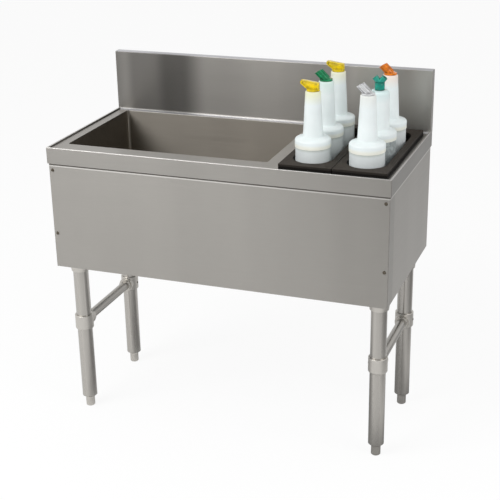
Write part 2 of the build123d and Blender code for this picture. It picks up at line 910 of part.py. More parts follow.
def pour_tube(plane, tilt, width, thickness, length):
    """Oval tube along a leaning plane's Z axis, which starts far enough back to have no step behind it."""
    back = thickness / 2 * math.tan(math.radians(abs(tilt)))
    with BuildSketch(plane.offset(-back)) as section:
        Ellipse(thickness / 2, width / 2)
    extrude(section.sketch, amount=back + length)


def pour_mouth(plane, width, thickness, length):
    """Sink the end of a tube, so that its rim is a thin wall."""
    with BuildSketch(plane.offset(length - mouth_depth)) as hollow:
        Ellipse(thickness / 2 - mouth_wall, width / 2 - mouth_wall)
    extrude(hollow.sketch, amount=length, mode=Mode.SUBTRACT)


def flip_spout(x, y, root):
    """Wedge with a straight back, a recess in each side and a small round nozzle."""
    ring_top = root + spout_ring_height / 2
    plane = leaning(x, y, root, flip_tilt)
    low, high = (
        plane.from_local_coords((offset, 0, flip_length)) for offset in (-flip_mouth / 2, flip_mouth / 2)
    )
    with BuildSketch(facing_front(y)) as outline:
        with BuildLine():
            Polyline(
                (x - flip_foot, ring_top),
                (low.X, low.Z),
                (high.X, high.Z),
                (x + flip_tail, ring_top + flip_tail_rise),
                (x + flip_tail, ring_top),
                close=True,
            )
        make_face()
        fillet(outline.vertices().group_by(Axis.X)[-1].sort_by(Axis.Y)[-1], flip_round)
    extrude(outline.sketch, amount=flip_width / 2, both=True)
    for sign in (-1, 1):
        with BuildSketch(facing_front(y + sign * flip_width / 2)) as recess:
            add(outline.sketch_local)
            offset(amount=-flip_border, mode=Mode.REPLACE)
        extrude(recess.sketch, amount=sign * flip_recess, mode=Mode.SUBTRACT)
    with BuildSketch(plane.offset(flip_length)) as nozzle:
        Circle(flip_mouth / 2)
    extrude(nozzle.sketch, amount=flip_nozzle)
    return [(plane, flip_length + flip_nozzle)]


def ribbed_spout(x, y, root):
    """Thick oval tube with ribs along it, cut off less steeply than it leans."""
    plane = leaning(x + ribbed_shift, y, root, ribbed_tilt)
    overlength = ribbed_length + ribbed_thickness
    pour_tube(plane, ribbed_tilt, ribbed_width, ribbed_thickness, overlength)
    with BuildSketch(plane) as ribs:
        for turn in range(rib_count):
            degrees = 360 * (turn + 0.5) / rib_count
            angle = math.radians(degrees)
            spot = (ribbed_thickness / 2 * math.cos(angle), ribbed_width / 2 * math.sin(angle))
            with Locations(Location(spot, degrees)):
                Rectangle(2 * rib_height, rib_width)
    extrude(ribs.sketch, amount=overlength)
    pour_mouth(plane, ribbed_width, ribbed_thickness, ribbed_length)
    end = plane.from_local_coords((0, 0, ribbed_length))
    split(bisect_by=leaning(end.X, end.Y, end.Z, ribbed_mouth_tilt), keep=Keep.BOTTOM)
    return [(plane, ribbed_length)]


def forked_spout(x, y, root):
    """Two short tubes that lean apart."""
    bores = []
    for tilt in (forked_tilt, -forked_tilt):
        plane = leaning(x, y, root, tilt)
        pour_tube(plane, tilt, forked_width, forked_thickness, forked_length)
        bores.append((plane, forked_length))
    for plane, length in bores:
        pour_mouth(plane, forked_width, forked_thickness, length)
    return bores


spout_makers = {"flip": flip_spout, "ribbed": ribbed_spout, "forked": forked_spout}

for place, (x, y) in bottle_places.items():
    kind = spout_kinds[place]
    with BuildPart() as jar:
        with BuildSketch(upright(x, y)):
            with BuildLine():
                Polyline((0, jar_bottom), (jar_radius - jar_foot_radius, jar_bottom))
                RadiusArc(
                    (jar_radius - jar_foot_radius, jar_bottom),
                    (jar_radius, jar_bottom + jar_foot_radius),
                    -jar_foot_radius,
                )
                Polyline(
                    (jar_radius, jar_bottom + jar_foot_radius),
                    (jar_radius, jar_shoulder),
                    (finish_radius, jar_shoulder),
                    (finish_radius, finish_top),
                    (finish_radius - jar_wall, finish_top),
                    (finish_radius - jar_wall, jar_shoulder - jar_wall),
                    (jar_radius - jar_wall, jar_shoulder - 2 * jar_wall),
                    (jar_radius - jar_wall, jar_bottom + jar_wall),
                    (0, jar_bottom + jar_wall),
                    (0, jar_bottom),
                )
            make_face()
        revolve(axis=vertical_axis(x, y))
    export(jar.part, f"jar_{place}")

    wide = kind == "forked"
    base_radius = wide_neck_base_radius if wide else neck_base_radius
    top_radius = wide_neck_top_radius if wide else neck_top_radius
    neck_top = neck_base + (wide_neck_height if wide else neck_height)
    shoulder = wide_neck_round if wide else neck_round
    mouth = wide_neck_mouth if wide else neck_mouth
    with BuildPart() as neck:
        skirt_bottom = jar_shoulder + rest_gap
        skirt_inner = finish_radius + thread_gap
        skirt_ceiling = finish_top + thread_gap
        with BuildSketch(upright(x, y)):
            with BuildLine():
                Polyline(
                    (base_radius - neck_wall, skirt_ceiling),
                    (skirt_inner, skirt_ceiling),
                    (skirt_inner, skirt_bottom),
                    (collar_radius, skirt_bottom),
                    (collar_radius, collar_top - collar_round),
                )
                RadiusArc(
                    (collar_radius, collar_top - collar_round),
                    (collar_radius - collar_round, collar_top),
                    -collar_round,
                )
                Polyline(
                    (collar_radius - collar_round, collar_top),
                    (base_radius, neck_base),
                    (top_radius, neck_top - shoulder),
                )
                RadiusArc(
                    (top_radius, neck_top - shoulder),
                    (top_radius - shoulder, neck_top),
                    -shoulder,
                )
                Polyline(
                    (top_radius - shoulder, neck_top),
                    (mouth, neck_top),
                    (mouth, neck_top - neck_wall),
                    (top_radius - shoulder, neck_top - neck_wall),
                )
                RadiusArc(
                    (top_radius - shoulder, neck_top - neck_wall),
                    (top_radius - neck_wall, neck_top - shoulder),
                    shoulder - neck_wall,
                )
                Line((top_radius - neck_wall, neck_top - shoulder), (base_radius - neck_wall, skirt_ceiling))
            make_face()
        revolve(axis=vertical_axis(x, y))
    export(neck.part, f"neck_{place}")

    with BuildPart() as spout:
        seat = neck_top + rest_gap
        ring_radius = wide_spout_radius if wide else spout_ring_radius
        ring_top = seat + (wide_spout_height if wide else spout_ring_height)
        root = ring_top - spout_ring_height / 2
        bores = spout_makers[kind](x, y, root)
        # Nothing but the plug reaches below the seat.
        block(
            (x - 2 * ring_radius, x + 2 * ring_radius),
            (y - 2 * ring_radius, y + 2 * ring_radius),
            (seat - 2 * ring_radius, seat),
            Mode.SUBTRACT,
        )
        for radius, height in ((ring_radius, ring_top - seat), (mouth - rest_gap, -spout_plug)):
            with BuildSketch(Plane.XY.offset(seat)):
                with Locations((x, y)):
                    Circle(radius)
            extrude(amount=height)
        for plane, length in bores:
            with BuildSketch(plane):
                Circle(spout_bore)
            extrude(amount=length, mode=Mode.SUBTRACT)
        with BuildSketch(Plane.XY.offset(root)):
            with Locations((x, y)):
                Circle(spout_bore)
        extrude(amount=seat - spout_plug - root, mode=Mode.SUBTRACT)
    export(spout.part, f"spout_{place}")
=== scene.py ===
import math

import bmesh
import bpy
from mathutils import Matrix, Vector


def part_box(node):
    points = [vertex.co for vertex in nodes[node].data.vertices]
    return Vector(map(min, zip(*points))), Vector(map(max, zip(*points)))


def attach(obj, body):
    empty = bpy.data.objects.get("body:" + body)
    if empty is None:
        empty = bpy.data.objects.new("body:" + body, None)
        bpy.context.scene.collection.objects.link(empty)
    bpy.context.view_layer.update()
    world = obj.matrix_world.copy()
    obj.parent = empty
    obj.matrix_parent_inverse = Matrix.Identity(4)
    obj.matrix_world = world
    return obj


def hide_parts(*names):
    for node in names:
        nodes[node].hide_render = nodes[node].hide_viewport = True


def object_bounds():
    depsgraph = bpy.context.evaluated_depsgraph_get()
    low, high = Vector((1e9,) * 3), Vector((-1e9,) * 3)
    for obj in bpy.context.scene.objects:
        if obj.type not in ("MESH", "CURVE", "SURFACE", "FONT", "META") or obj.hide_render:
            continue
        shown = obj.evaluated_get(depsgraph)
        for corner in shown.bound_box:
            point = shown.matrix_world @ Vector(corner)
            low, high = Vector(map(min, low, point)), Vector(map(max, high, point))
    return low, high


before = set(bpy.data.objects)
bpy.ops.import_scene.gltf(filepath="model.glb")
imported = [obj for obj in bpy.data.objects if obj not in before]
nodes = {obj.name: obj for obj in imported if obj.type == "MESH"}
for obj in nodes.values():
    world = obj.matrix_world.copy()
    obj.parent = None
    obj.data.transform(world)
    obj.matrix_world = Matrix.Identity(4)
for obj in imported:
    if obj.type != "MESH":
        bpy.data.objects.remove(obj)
cad_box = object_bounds()

# Places and sizes, in metres, most of them read from the frame

PLATE_LAYER = 0.006  # upper layer of a bottle insert's plate, above its groove
GROOVE_SOFT = 0.0005
APRON_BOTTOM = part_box("rim_deck")[0].z
LIP_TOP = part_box("rim_deck")[1].z
TRAY_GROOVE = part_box("left_bottle_insert")[1].z - PLATE_LAYER
JAR_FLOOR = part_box("jar_left_front")[0].z
JAR_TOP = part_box("jar_left_front")[1].z
LEG_PLACES = ("front_left", "front_right", "rear_left", "rear_right")
BOTTLE_PLACES = ("left_front", "left_middle", "left_rear", "right_front", "right_middle", "right_rear")
WIDE_NECKED = "right_middle"

# Bottle sizes, in metres

JAR_RADIUS = 0.043
JAR_WALL = 0.002
JAR_FOOT = 0.005
JAR_SHOULDER = 0.0015
FINISH_RADIUS = 0.0405
FINISH_HEIGHT = 0.018
COLLAR_RADIUS = 0.0444
COLLAR_HEIGHT = 0.022
COLLAR_ROUND = 0.006
COLLAR_RISE = 0.003
COLLAR_ROOF = 0.0035
THREAD_GAP = 0.0005
REST_GAP = 0.0003
NECK_WALL = 0.0018
NECK_FOOT_ROUND = 0.004
LIP_EASE = 0.0006
SLIM_NECK = (0.0245, 0.0189, 0.003, 0.0135)  # foot radius, top radius, shoulder, mouth radius
WIDE_NECK = (0.026, 0.025, 0.009, 0.0105)
RIB_COUNT = 72
RIB_WIDTH = 0.0016
RIB_DEPTH = 0.0006
RIB_PROUD = 0.0001
RIB_END_GAP = 0.004
SPOUT_EDGE = 0.0006
TURN_STEPS = 128
SAME_POINT = 1e-6

# Panel screws, in metres

SCREW_HEAD = 0.0045
SCREW_HEIGHT = 0.0019
SCREW_CROWN = 0.0009
SHANK_RADIUS = 0.0021
SHANK_LENGTH = 0.005
RECESS_LENGTH = 0.0046
RECESS_WIDTH = 0.0009
RECESS_DEPTH = 0.0013
FRONT_SCREWS = (2, 2)  # columns, rows
REAR_SCREWS = (2, 3)

# Brushed finishes: stroke frequencies along X, Y and Z, per metre, share of the coarser streaks, and blur

SHEET_STROKES = (18.0, 900.0, 900.0)
END_STROKES = (900.0, 18.0, 900.0)
POST_STROKES = (420.0, 420.0, 9.0)
RAIL_STROKES = (420.0, 9.0, 420.0)
STREAK_SHARE = 0.22
STROKE_BLUR = 0.85

# Lines on the folds of the rim: painted shadow in the seam under the apron, a painted highlight on its edge,
# and a painted highlight on the crest of the lip

SEAM_DEPTH = 0.0042
SEAM_REACH = 0.001
SEAM_HIGHLIGHT_SPAN = 0.0032
SEAM_SOFT = 0.0006
LIP_CREST = 0.0008
SEAM_SHADOW = (0.06, 0.055, 0.045)
SEAM_HIGHLIGHT = (0.90, 0.88, 0.85)
LIP_HIGHLIGHT = (0.92, 0.90, 0.88)

# Spans of noise and of direction that the finishes are graded over, and shades that they share

NOISE_SPAN = (0.3, 0.7)
SIDEWAYS = 0.7
UPWARD = (0.3, 0.9)
FRONTWARD = (-0.6, -0.2)
# brightness of edges, for wear and a painted highlight
EDGE_WEAR_AND_HIGHLIGHT = 1.5
WHITE = (1.0, 1.0, 1.0)


# Node tree helpers

def add_node(tree, kind, **settings):
    node = tree.nodes.new(kind)
    for name, value in settings.items():
        setattr(node, name, value)
    return node


def join(tree, source, target):
    tree.links.new(source, target)


def fill(tree, socket, value):
    """Join another node's output to the socket, or set the socket to a plain value."""
    if isinstance(value, bpy.types.NodeSocket):
        join(tree, value, socket)
    elif socket.type == "RGBA":
        socket.default_value = (*value, 1.0)
    else:
        socket.default_value = value


def math_node(tree, operation, first, second=None):
    node = add_node(tree, "ShaderNodeMath", operation=operation)
    fill(tree, node.inputs[0], first)
    if second is not None:
        fill(tree, node.inputs[1], second)
    return node.outputs[0]


def vector_times(tree, vector, factors):
    node = add_node(tree, "ShaderNodeVectorMath", operation="MULTIPLY")
    fill(tree, node.inputs[0], vector)
    fill(tree, node.inputs[1], factors)
    return node.outputs[0]


def blend_colors(tree, factor, first, second, mode="MIX"):
    node = add_node(tree, "ShaderNodeMix", data_type="RGBA", blend_type=mode)
    fill(tree, node.inputs[0], factor)
    fill(tree, node.inputs[6], first)
    fill(tree, node.inputs[7], second)
    return node.outputs[2]


def blend_numbers(tree, factor, first, second):
    node = add_node(tree, "ShaderNodeMix", data_type="FLOAT")
    fill(tree, node.inputs[0], factor)
    fill(tree, node.inputs[2], first)
    fill(tree, node.inputs[3], second)
    return node.outputs[0]


def times(tree, color, factor):
    """Multiply a colour by another colour or by a grey value."""
    return blend_colors(tree, 1.0, color, factor, "MULTIPLY")


def rescale(tree, value, low, high, new_low, new_high):
    node = add_node(tree, "ShaderNodeMapRange")
    join(tree, value, node.inputs["Value"])
    for name, number in (("From Min", low), ("From Max", high), ("To Min", new_low), ("To Max", new_high)):
        node.inputs[name].default_value = number
    return node.outputs[0]


def parts_of(tree, vector):
    """The X, Y and Z of a vector."""
    node = add_node(tree, "ShaderNodeSeparateXYZ")
    join(tree, vector, node.inputs[0])
    return node.outputs


def faces_sideways(tree, normal):
    """1 where a face looks along X, 0 elsewhere."""
    return math_node(tree, "GREATER_THAN", math_node(tree, "ABSOLUTE", parts_of(tree, normal)[0]), SIDEWAYS)


def band(tree, value, low, high, soft):
    """1 where the value is between low and high, with soft ends."""
    rise = rescale(tree, value, low - soft, low, 0.0, 1.0)
    fall = rescale(tree, value, high, high + soft, 1.0, 0.0)
    return math_node(tree, "MULTIPLY", rise, fall)


def grade(tree, value, stops, interpolation="LINEAR"):
    """Colour ramp over a value from 0 to 1; stops are (share, colour), the two ends first."""
    node = add_node(tree, "ShaderNodeValToRGB")
    node.color_ramp.interpolation = interpolation
    elements = node.color_ramp.elements
    for index, (share, color) in enumerate(stops):
        stop = elements[index] if index < 2 else elements.new(share)
        stop.position = share
        stop.color = (*color, 1.0)
    join(tree, value, node.inputs[0])
    return node.outputs[0]


def noise_of(tree, position, **settings):
    """Noise at a position; a setting is a number or the output that feeds the input of that name."""
    node = add_node(tree, "ShaderNodeTexNoise")
    fill(tree, node.inputs["Vector"], position)
    for name, value in settings.items():
        fill(tree, node.inputs[name.title()], value)
    return node.outputs[0]


def shader_group(name, inputs, outputs):
    """Start a shader node group; inputs are (name, socket kind, default), outputs (name, socket kind)."""
    tree = bpy.data.node_groups.new(name, "ShaderNodeTree")
    for socket_name, kind, value in inputs:
        socket = tree.interface.new_socket(name=socket_name, in_out="INPUT", socket_type=kind)
        if value is not None:
            socket.default_value = value
    for socket_name, kind in outputs:
        tree.interface.new_socket(name=socket_name, in_out="OUTPUT", socket_type=kind)
    return tree, add_node(tree, "NodeGroupInput").outputs, add_node(tree, "NodeGroupOutput").inputs


def place_group(tree, group, **values):
    """Place a group in a material; a value is a number or the output that feeds the input."""
    node = add_node(tree, "ShaderNodeGroup", node_tree=group)
    for name, value in values.items():
        fill(tree, node.inputs[name.title()], value)
    return node.outputs


# Shader groups shared by the materials

def make_brushed_grain():
    """Fine strokes; Lying and Facing give their frequencies on most faces and on faces that look along X."""
    tree, start, end = shader_group(
        "brushed_grain",
        (
            ("Position", "NodeSocketVector", None),
            ("Normal", "NodeSocketVector", None),
            ("Lying", "NodeSocketVector", SHEET_STROKES),
            ("Facing", "NodeSocketVector", END_STROKES),
        ),
        (("Grain", "NodeSocketFloat"), ("Streak", "NodeSocketFloat")),
    )
    chosen = add_node(tree, "ShaderNodeMix", data_type="VECTOR")
    join(tree, faces_sideways(tree, start["Normal"]), chosen.inputs[0])
    join(tree, start["Lying"], chosen.inputs[4])
    join(tree, start["Facing"], chosen.inputs[5])
    fine = vector_times(tree, start["Position"], chosen.outputs[1])
    for share, output, detail in ((1.0, "Grain", 3.0), (STREAK_SHARE, "Streak", 2.0)):
        strokes = vector_times(tree, fine, (share, share, share))
        join(tree, noise_of(tree, strokes, scale=1.0, detail=detail), end[output])
    return tree


def make_soft_mottle():
    """Broad soft clouds, for rolled sheet that isn't quite flat or even."""
    tree, start, end = shader_group(
        "soft_mottle",
        (
            ("Position", "NodeSocketVector", None),
            ("Stretch", "NodeSocketVector", (1.0, 1.0, 1.0)),
            ("Density", "NodeSocketFloat", 6.0),
        ),
        (("Tone", "NodeSocketFloat"),),
    )
    stretched = vector_times(tree, start["Position"], start["Stretch"])
    clouds = noise_of(tree, stretched, scale=start["Density"], detail=2.0, roughness=0.45)
    join(tree, clouds, end["Tone"])
    return tree


def make_edge_mask():
    """White along edges, found where a rounded normal leaves the true one; the finishes brighten them as
    wear and as a painted highlight.
    """
    tree, start, end = shader_group(
        "edge_mask",
        (("Radius", "NodeSocketFloat", 0.001), ("Gain", "NodeSocketFloat", 3.0)),
        (("Edge", "NodeSocketFloat"),),
    )
    rounded = add_node(tree, "ShaderNodeBevel", samples=4)
    join(tree, start["Radius"], rounded.inputs["Radius"])
    geometry = add_node(tree, "ShaderNodeNewGeometry")
    dot = add_node(tree, "ShaderNodeVectorMath", operation="DOT_PRODUCT")
    join(tree, rounded.outputs[0], dot.inputs[0])
    join(tree, geometry.outputs["Normal"], dot.inputs[1])
    away = math_node(tree, "SUBTRACT", 1.0, dot.outputs["Value"])
    strength = math_node(tree, "MULTIPLY", away, start["Gain"])
    join(tree, math_node(tree, "MINIMUM", strength, 1.0), end["Edge"])
    return tree


def make_fine_skin():
    """Grain of a casting or of moulded plastic: small bumps of one size, with a few larger ones."""
    tree, start, end = shader_group(
        "fine_skin",
        (("Position", "NodeSocketVector", None), ("Density", "NodeSocketFloat", 1400.0)),
        (("Height", "NodeSocketFloat"), ("Tone", "NodeSocketFloat")),
    )
    sparse = math_node(tree, "MULTIPLY", start["Density"], 0.06)
    join(tree, noise_of(tree, start["Position"], scale=start["Density"], detail=3.0), end["Height"])
    join(tree, noise_of(tree, start["Position"], scale=sparse, detail=2.0), end["Tone"])
    return tree


def make_cavity_mask():
    """1 in creases, under lips and in recesses, 0 on open faces: where painted shade goes."""
    tree, start, end = shader_group(
        "cavity_mask",
        (("Reach", "NodeSocketFloat", 0.004),),
        (("Cavity", "NodeSocketFloat"),),
    )
    hidden = add_node(tree, "ShaderNodeAmbientOcclusion", samples=8)
    join(tree, start["Reach"], hidden.inputs["Distance"])
    join(tree, rescale(tree, hidden.outputs["AO"], 0.25, 0.85, 1.0, 0.0), end["Cavity"])
    return tree


BRUSHED_GRAIN = make_brushed_grain()
SOFT_MOTTLE = make_soft_mottle()
EDGE_MASK = make_edge_mask()
FINE_SKIN = make_fine_skin()
CAVITY_MASK = make_cavity_mask()


# Materials

def start_material(name):
    material = bpy.data.materials.new(name)
    material.use_nodes = True
    tree = material.node_tree
    shader = tree.nodes["Principled BSDF"]
    position = add_node(tree, "ShaderNodeTexCoord").outputs["Object"]
    normal = add_node(tree, "ShaderNodeNewGeometry").outputs["Normal"]
    return material, tree, shader, position, normal


def shade(color, factor):
    return tuple(channel * factor for channel in color)


def bump(tree, shader, height, strength, distance):
    node = add_node(tree, "ShaderNodeBump")
    node.inputs["Strength"].default_value = strength
    node.inputs["Distance"].default_value = distance
    join(tree, height, node.inputs["Height"])
    join(tree, node.outputs[0], shader.inputs["Normal"])


def blur_strokes(tree, shader, normal, tube_axis):
    """Blur reflections across the strokes of a sheet, or along the axis of a tube."""
    shader.inputs["Anisotropic"].default_value = STROKE_BLUR
    if tube_axis:
        along = add_node(tree, "ShaderNodeCombineXYZ")
        for socket, value in zip(along.inputs, tube_axis):
            socket.default_value = value
        join(tree, along.outputs[0], shader.inputs["Tangent"])
        return
    stroke = add_node(tree, "ShaderNodeMix", data_type="VECTOR")
    join(tree, faces_sideways(tree, normal), stroke.inputs[0])
    stroke.inputs[4].default_value = (1.0, 0.0, 0.0)
    stroke.inputs[5].default_value = (0.0, 1.0, 0.0)
    across = add_node(tree, "ShaderNodeVectorMath", operation="CROSS_PRODUCT")
    join(tree, normal, across.inputs[0])
    join(tree, stroke.outputs[1], across.inputs[1])
    join(tree, across.outputs[0], shader.inputs["Tangent"])


def seam_shadow_and_highlight(tree, position, color):
    """Painted shadow line and thin painted highlight line on the panels just under the apron, where its
    folded edge bears.
    """
    height = parts_of(tree, position)[2]
    seam_low = APRON_BOTTOM - SEAM_DEPTH
    dark = band(tree, height, seam_low, APRON_BOTTOM + SEAM_REACH, SEAM_SOFT)
    bright = band(tree, height, seam_low - SEAM_HIGHLIGHT_SPAN, seam_low - SEAM_SOFT, SEAM_SOFT)
    lit = blend_colors(tree, math_node(tree, "MULTIPLY", bright, 0.50), color, SEAM_HIGHLIGHT)
    return blend_colors(tree, math_node(tree, "MULTIPLY", dark, 0.72), lit, SEAM_SHADOW)


def painted_lip_highlight(tree, position, color):
    """Painted highlight along the crest of the raised lip."""
    height = parts_of(tree, position)[2]
    crest = band(tree, height, LIP_TOP - LIP_CREST, LIP_TOP + LIP_CREST, LIP_CREST)
    return blend_colors(tree, math_node(tree, "MULTIPLY", crest, 0.45), color, LIP_HIGHLIGHT)


def painted_top_light(tree, normal, color, painted_light_tint):
    """Painted top light: a paler tone on faces that look up, as on the splash's top bend and coved foot and
    on the trays.
    """
    upward = rescale(tree, parts_of(tree, normal)[2], *UPWARD, 0.0, 1.0)
    return times(tree, color, blend_colors(tree, upward, WHITE, painted_light_tint))


def painted_reflection_bands(tree, position, normal, tones):
    """Painted reflection as soft upright bands on the front of the sheet; tones are (share of the overall
    width, grey).
    """
    share = rescale(tree, parts_of(tree, position)[0], cad_box[0].x, cad_box[1].x, 0.0, 1.0)
    halved = [(place, (tone / 2, tone / 2, tone / 2)) for place, tone in tones]
    banded = vector_times(tree, grade(tree, share, halved, "EASE"), (2.0, 2.0, 2.0))
    frontward = rescale(tree, parts_of(tree, normal)[1], *FRONTWARD, 1.0, 0.0)
    return blend_colors(tree, frontward, WHITE, banded)


def make_sheet_steel(name, color, roughness, grain=0.035, mottle=(1.0, 1.0, 0.15), density=5.0, cloud=0.05,
                     lying=SHEET_STROKES, facing=END_STROKES, tube_axis=None, seam_shaded=False, painted_end_shade=1.0,
                     reflection_bands=(), top_light=(), lip_highlighted=False):
    """Brushed stainless sheet or tube: fine strokes, soft bands, and brighter edges for wear and a painted
    highlight.
    """
    material, tree, shader, position, normal = start_material(name)
    strokes = place_group(tree, BRUSHED_GRAIN, position=position, normal=normal, lying=lying, facing=facing)
    clouds = place_group(tree, SOFT_MOTTLE, position=position, stretch=mottle, density=density)
    edge = place_group(tree, EDGE_MASK)
    base = blend_colors(tree, strokes["Grain"], shade(color, 1 - grain), shade(color, 1 + grain))
    toned = times(tree, base, rescale(tree, clouds["Tone"], *NOISE_SPAN, 1 - cloud, 1 + cloud))
    # Painted shade: faces that look along X are made darker.
    if painted_end_shade != 1.0:
        toned = times(tree, toned, rescale(tree, faces_sideways(tree, normal), 0.0, 1.0, 1.0, painted_end_shade))
    # painted shadow and painted highlight on the panels just under the apron
    if seam_shaded:
        toned = seam_shadow_and_highlight(tree, position, toned)
    # painted reflection in upright bands
    if reflection_bands:
        toned = times(tree, toned, painted_reflection_bands(tree, position, normal, reflection_bands))
    # painted top light on faces that look up
    if top_light:
        toned = painted_top_light(tree, normal, toned, top_light)
    # painted highlight on the crest of the lip
    if lip_highlighted:
        toned = painted_lip_highlight(tree, position, toned)
    # Brighter edges: wear and a painted highlight on the bends.
    wear_and_highlight = math_node(tree, "MULTIPLY", edge["Edge"], 0.3)
    join(tree, blend_colors(tree, wear_and_highlight, toned, shade(color, EDGE_WEAR_AND_HIGHLIGHT)), shader.inputs["Base Color"])
    streaked = rescale(tree, strokes["Streak"], *NOISE_SPAN, roughness - 0.015, roughness + 0.015)
    join(tree, streaked, shader.inputs["Roughness"])
    shader.inputs["Metallic"].default_value = 1.0
    blur_strokes(tree, shader, normal, tube_axis)
    bump(tree, shader, strokes["Grain"], 0.05, 0.00002)
    return material


def make_cast_steel(name, color, roughness):
    """Satin casting with a fine sandy skin."""
    material, tree, shader, position, _ = start_material(name)
    skin = place_group(tree, FINE_SKIN, position=position, density=1100.0)
    edge = place_group(tree, EDGE_MASK, radius=0.0012)
    base = blend_colors(tree, skin["Tone"], shade(color, 0.9), shade(color, 1.1))
    # Brighter edges: wear and a painted highlight.
    wear_and_highlight = math_node(tree, "MULTIPLY", edge["Edge"], 0.5)
    join(tree, blend_colors(tree, wear_and_highlight, base, shade(color, EDGE_WEAR_AND_HIGHLIGHT)), shader.inputs["Base Color"])
    matte = rescale(tree, skin["Tone"], *NOISE_SPAN, roughness - 0.04, roughness + 0.06)
    join(tree, matte, shader.inputs["Roughness"])
    shader.inputs["Metallic"].default_value = 1.0
    bump(tree, shader, skin["Height"], 0.5, 0.0001)
    return material


def make_spangled_zinc(name):
    """Galvanized sheet: pale crystals that meet in sharp cells."""
    material, tree, shader, position, _ = start_material(name)
    cells = add_node(tree, "ShaderNodeTexVoronoi")
    cells.inputs["Scale"].default_value = 90.0
    join(tree, position, cells.inputs["Vector"])
    tone = add_node(tree, "ShaderNodeSeparateColor")
    join(tree, cells.outputs["Color"], tone.inputs[0])
    color = (0.47, 0.49, 0.50)
    crystal = blend_colors(tree, tone.outputs[0], shade(color, 0.86), shade(color, 1.14))
    join(tree, crystal, shader.inputs["Base Color"])
    join(tree, rescale(tree, tone.outputs[1], 0.0, 1.0, 0.35, 0.55), shader.inputs["Roughness"])
    shader.inputs["Metallic"].default_value = 1.0
    return material


def make_moulded_plastic(name, color, roughness, groove=None):
    """Matte moulded plastic with a fine pebbled skin and brighter edges for wear and a painted highlight; a
    tray gets painted top light and painted shade below its groove.
    """
    material, tree, shader, position, normal = start_material(name)
    skin = place_group(tree, FINE_SKIN, position=position, density=900.0)
    edge = place_group(tree, EDGE_MASK)
    base = blend_colors(tree, skin["Tone"], shade(color, 0.8), shade(color, 1.25))
    # Brighter edges: wear and a painted highlight.
    wear_and_highlight = math_node(tree, "MULTIPLY", edge["Edge"], 0.35)
    toned = blend_colors(tree, wear_and_highlight, base, shade(color, 2.2))
    if groove:
        # Painted shade on the lower layer, below the groove under the plate's upper layer.
        upper = rescale(tree, parts_of(tree, position)[2], groove - GROOVE_SOFT, groove, 0.25, 1.0)
        toned = painted_top_light(tree, normal, times(tree, toned, upper), TRAY_TOP_LIGHT)
    join(tree, toned, shader.inputs["Base Color"])
    pebbled = rescale(tree, skin["Height"], *NOISE_SPAN, roughness - 0.08, roughness + 0.08)
    join(tree, pebbled, shader.inputs["Roughness"])
    shader.inputs["Specular IOR Level"].default_value = 0.2
    bump(tree, shader, skin["Height"], 0.6, 0.0001)
    return material


def make_bottle_white(name, low, high, stops, crumple=0.0):
    """Translucent white plastic whose colour changes up its height, with painted shade in creases and
    recesses; stops are (share of height, colour).
    """
    material, tree, shader, position, _ = start_material(name)
    skin = place_group(tree, FINE_SKIN, position=position, density=300.0)
    share = rescale(tree, parts_of(tree, position)[2], low, high, 0.0, 1.0)
    toned = times(tree, grade(tree, share, stops), rescale(tree, skin["Tone"], *NOISE_SPAN, 0.95, 1.04))
    if crumple:
        film = noise_of(tree, position, scale=55.0, distortion=1.6)
        crease = math_node(tree, "ABSOLUTE", math_node(tree, "SUBTRACT", film, 0.5))
        toned = times(tree, toned, rescale(tree, crease, 0.0, 0.12, 1 - crumple, 1.0))
    # Painted shade in creases and under the collar.
    cavity = place_group(tree, CAVITY_MASK, reach=0.005)["Cavity"]
    toned = times(tree, toned, rescale(tree, cavity, 0.0, 1.0, 1.0, 0.62))
    join(tree, toned, shader.inputs["Base Color"])
    join(tree, rescale(tree, skin["Tone"], *NOISE_SPAN, 0.32, 0.42), shader.inputs["Roughness"])
    shader.inputs["Subsurface Weight"].default_value = 0.3
    shader.inputs["Subsurface Radius"].default_value = (0.006, 0.006, 0.006)
    shader.inputs["Subsurface Scale"].default_value = 1.0
    bump(tree, shader, skin["Height"], 0.15, 0.0002)
    return material


def make_spout_plastic(name, color, clearness, low, high):
    """Coloured see-through plastic of a pour spout, paler where it is thin near its mouth, with a painted
    highlight on its edges and painted shade in its recesses.
    """
    material, tree, shader, position, _ = start_material(name)
    skin = place_group(tree, FINE_SKIN, position=position, density=1900.0)
    edge = place_group(tree, EDGE_MASK, radius=0.0008)
    pale = tuple(0.75 * channel + 0.22 for channel in color)
    clouded = rescale(tree, skin["Tone"], 0.35, 0.65, 0.0, 1.0)
    flow = blend_colors(tree, clouded, shade(color, 0.66), shade(color, 1.1))
    thin = rescale(tree, parts_of(tree, position)[2], low, high, 0.0, 0.08)
    toned = blend_colors(tree, thin, flow, pale)
    # Painted highlight: paler edges.
    toned = blend_colors(tree, math_node(tree, "MULTIPLY", edge["Edge"], 0.2), toned, pale)
    # Painted shade in the spout's recesses.
    cavity = place_group(tree, CAVITY_MASK, reach=0.006)["Cavity"]
    hollow_shade = rescale(tree, cavity, 0.0, 0.7, 1.0, 0.3)
    join(tree, times(tree, toned, hollow_shade), shader.inputs["Base Color"])
    join(tree, rescale(tree, skin["Tone"], *NOISE_SPAN, 0.05, 0.15), shader.inputs["Roughness"])
    shader.inputs["Transmission Weight"].default_value = clearness
    shader.inputs["IOR"].default_value = 1.49
    bump(tree, shader, skin["Height"], 0.05, 0.0001)
    return material


def make_foam(name):
    material, tree, shader, position, _ = start_material(name)
    skin = place_group(tree, FINE_SKIN, position=position, density=260.0)
    foam = blend_colors(tree, skin["Tone"], (0.70, 0.58, 0.30), (0.86, 0.76, 0.50))
    join(tree, foam, shader.inputs["Base Color"])
    shader.inputs["Roughness"].default_value = 0.9
    bump(tree, shader, skin["Height"], 0.8, 0.001)
    return material


# Finishes of the chest; the splash's painted reflection bands are (share of the overall width, tone), the
# two ends first

STEEL = (0.385, 0.370, 0.346)
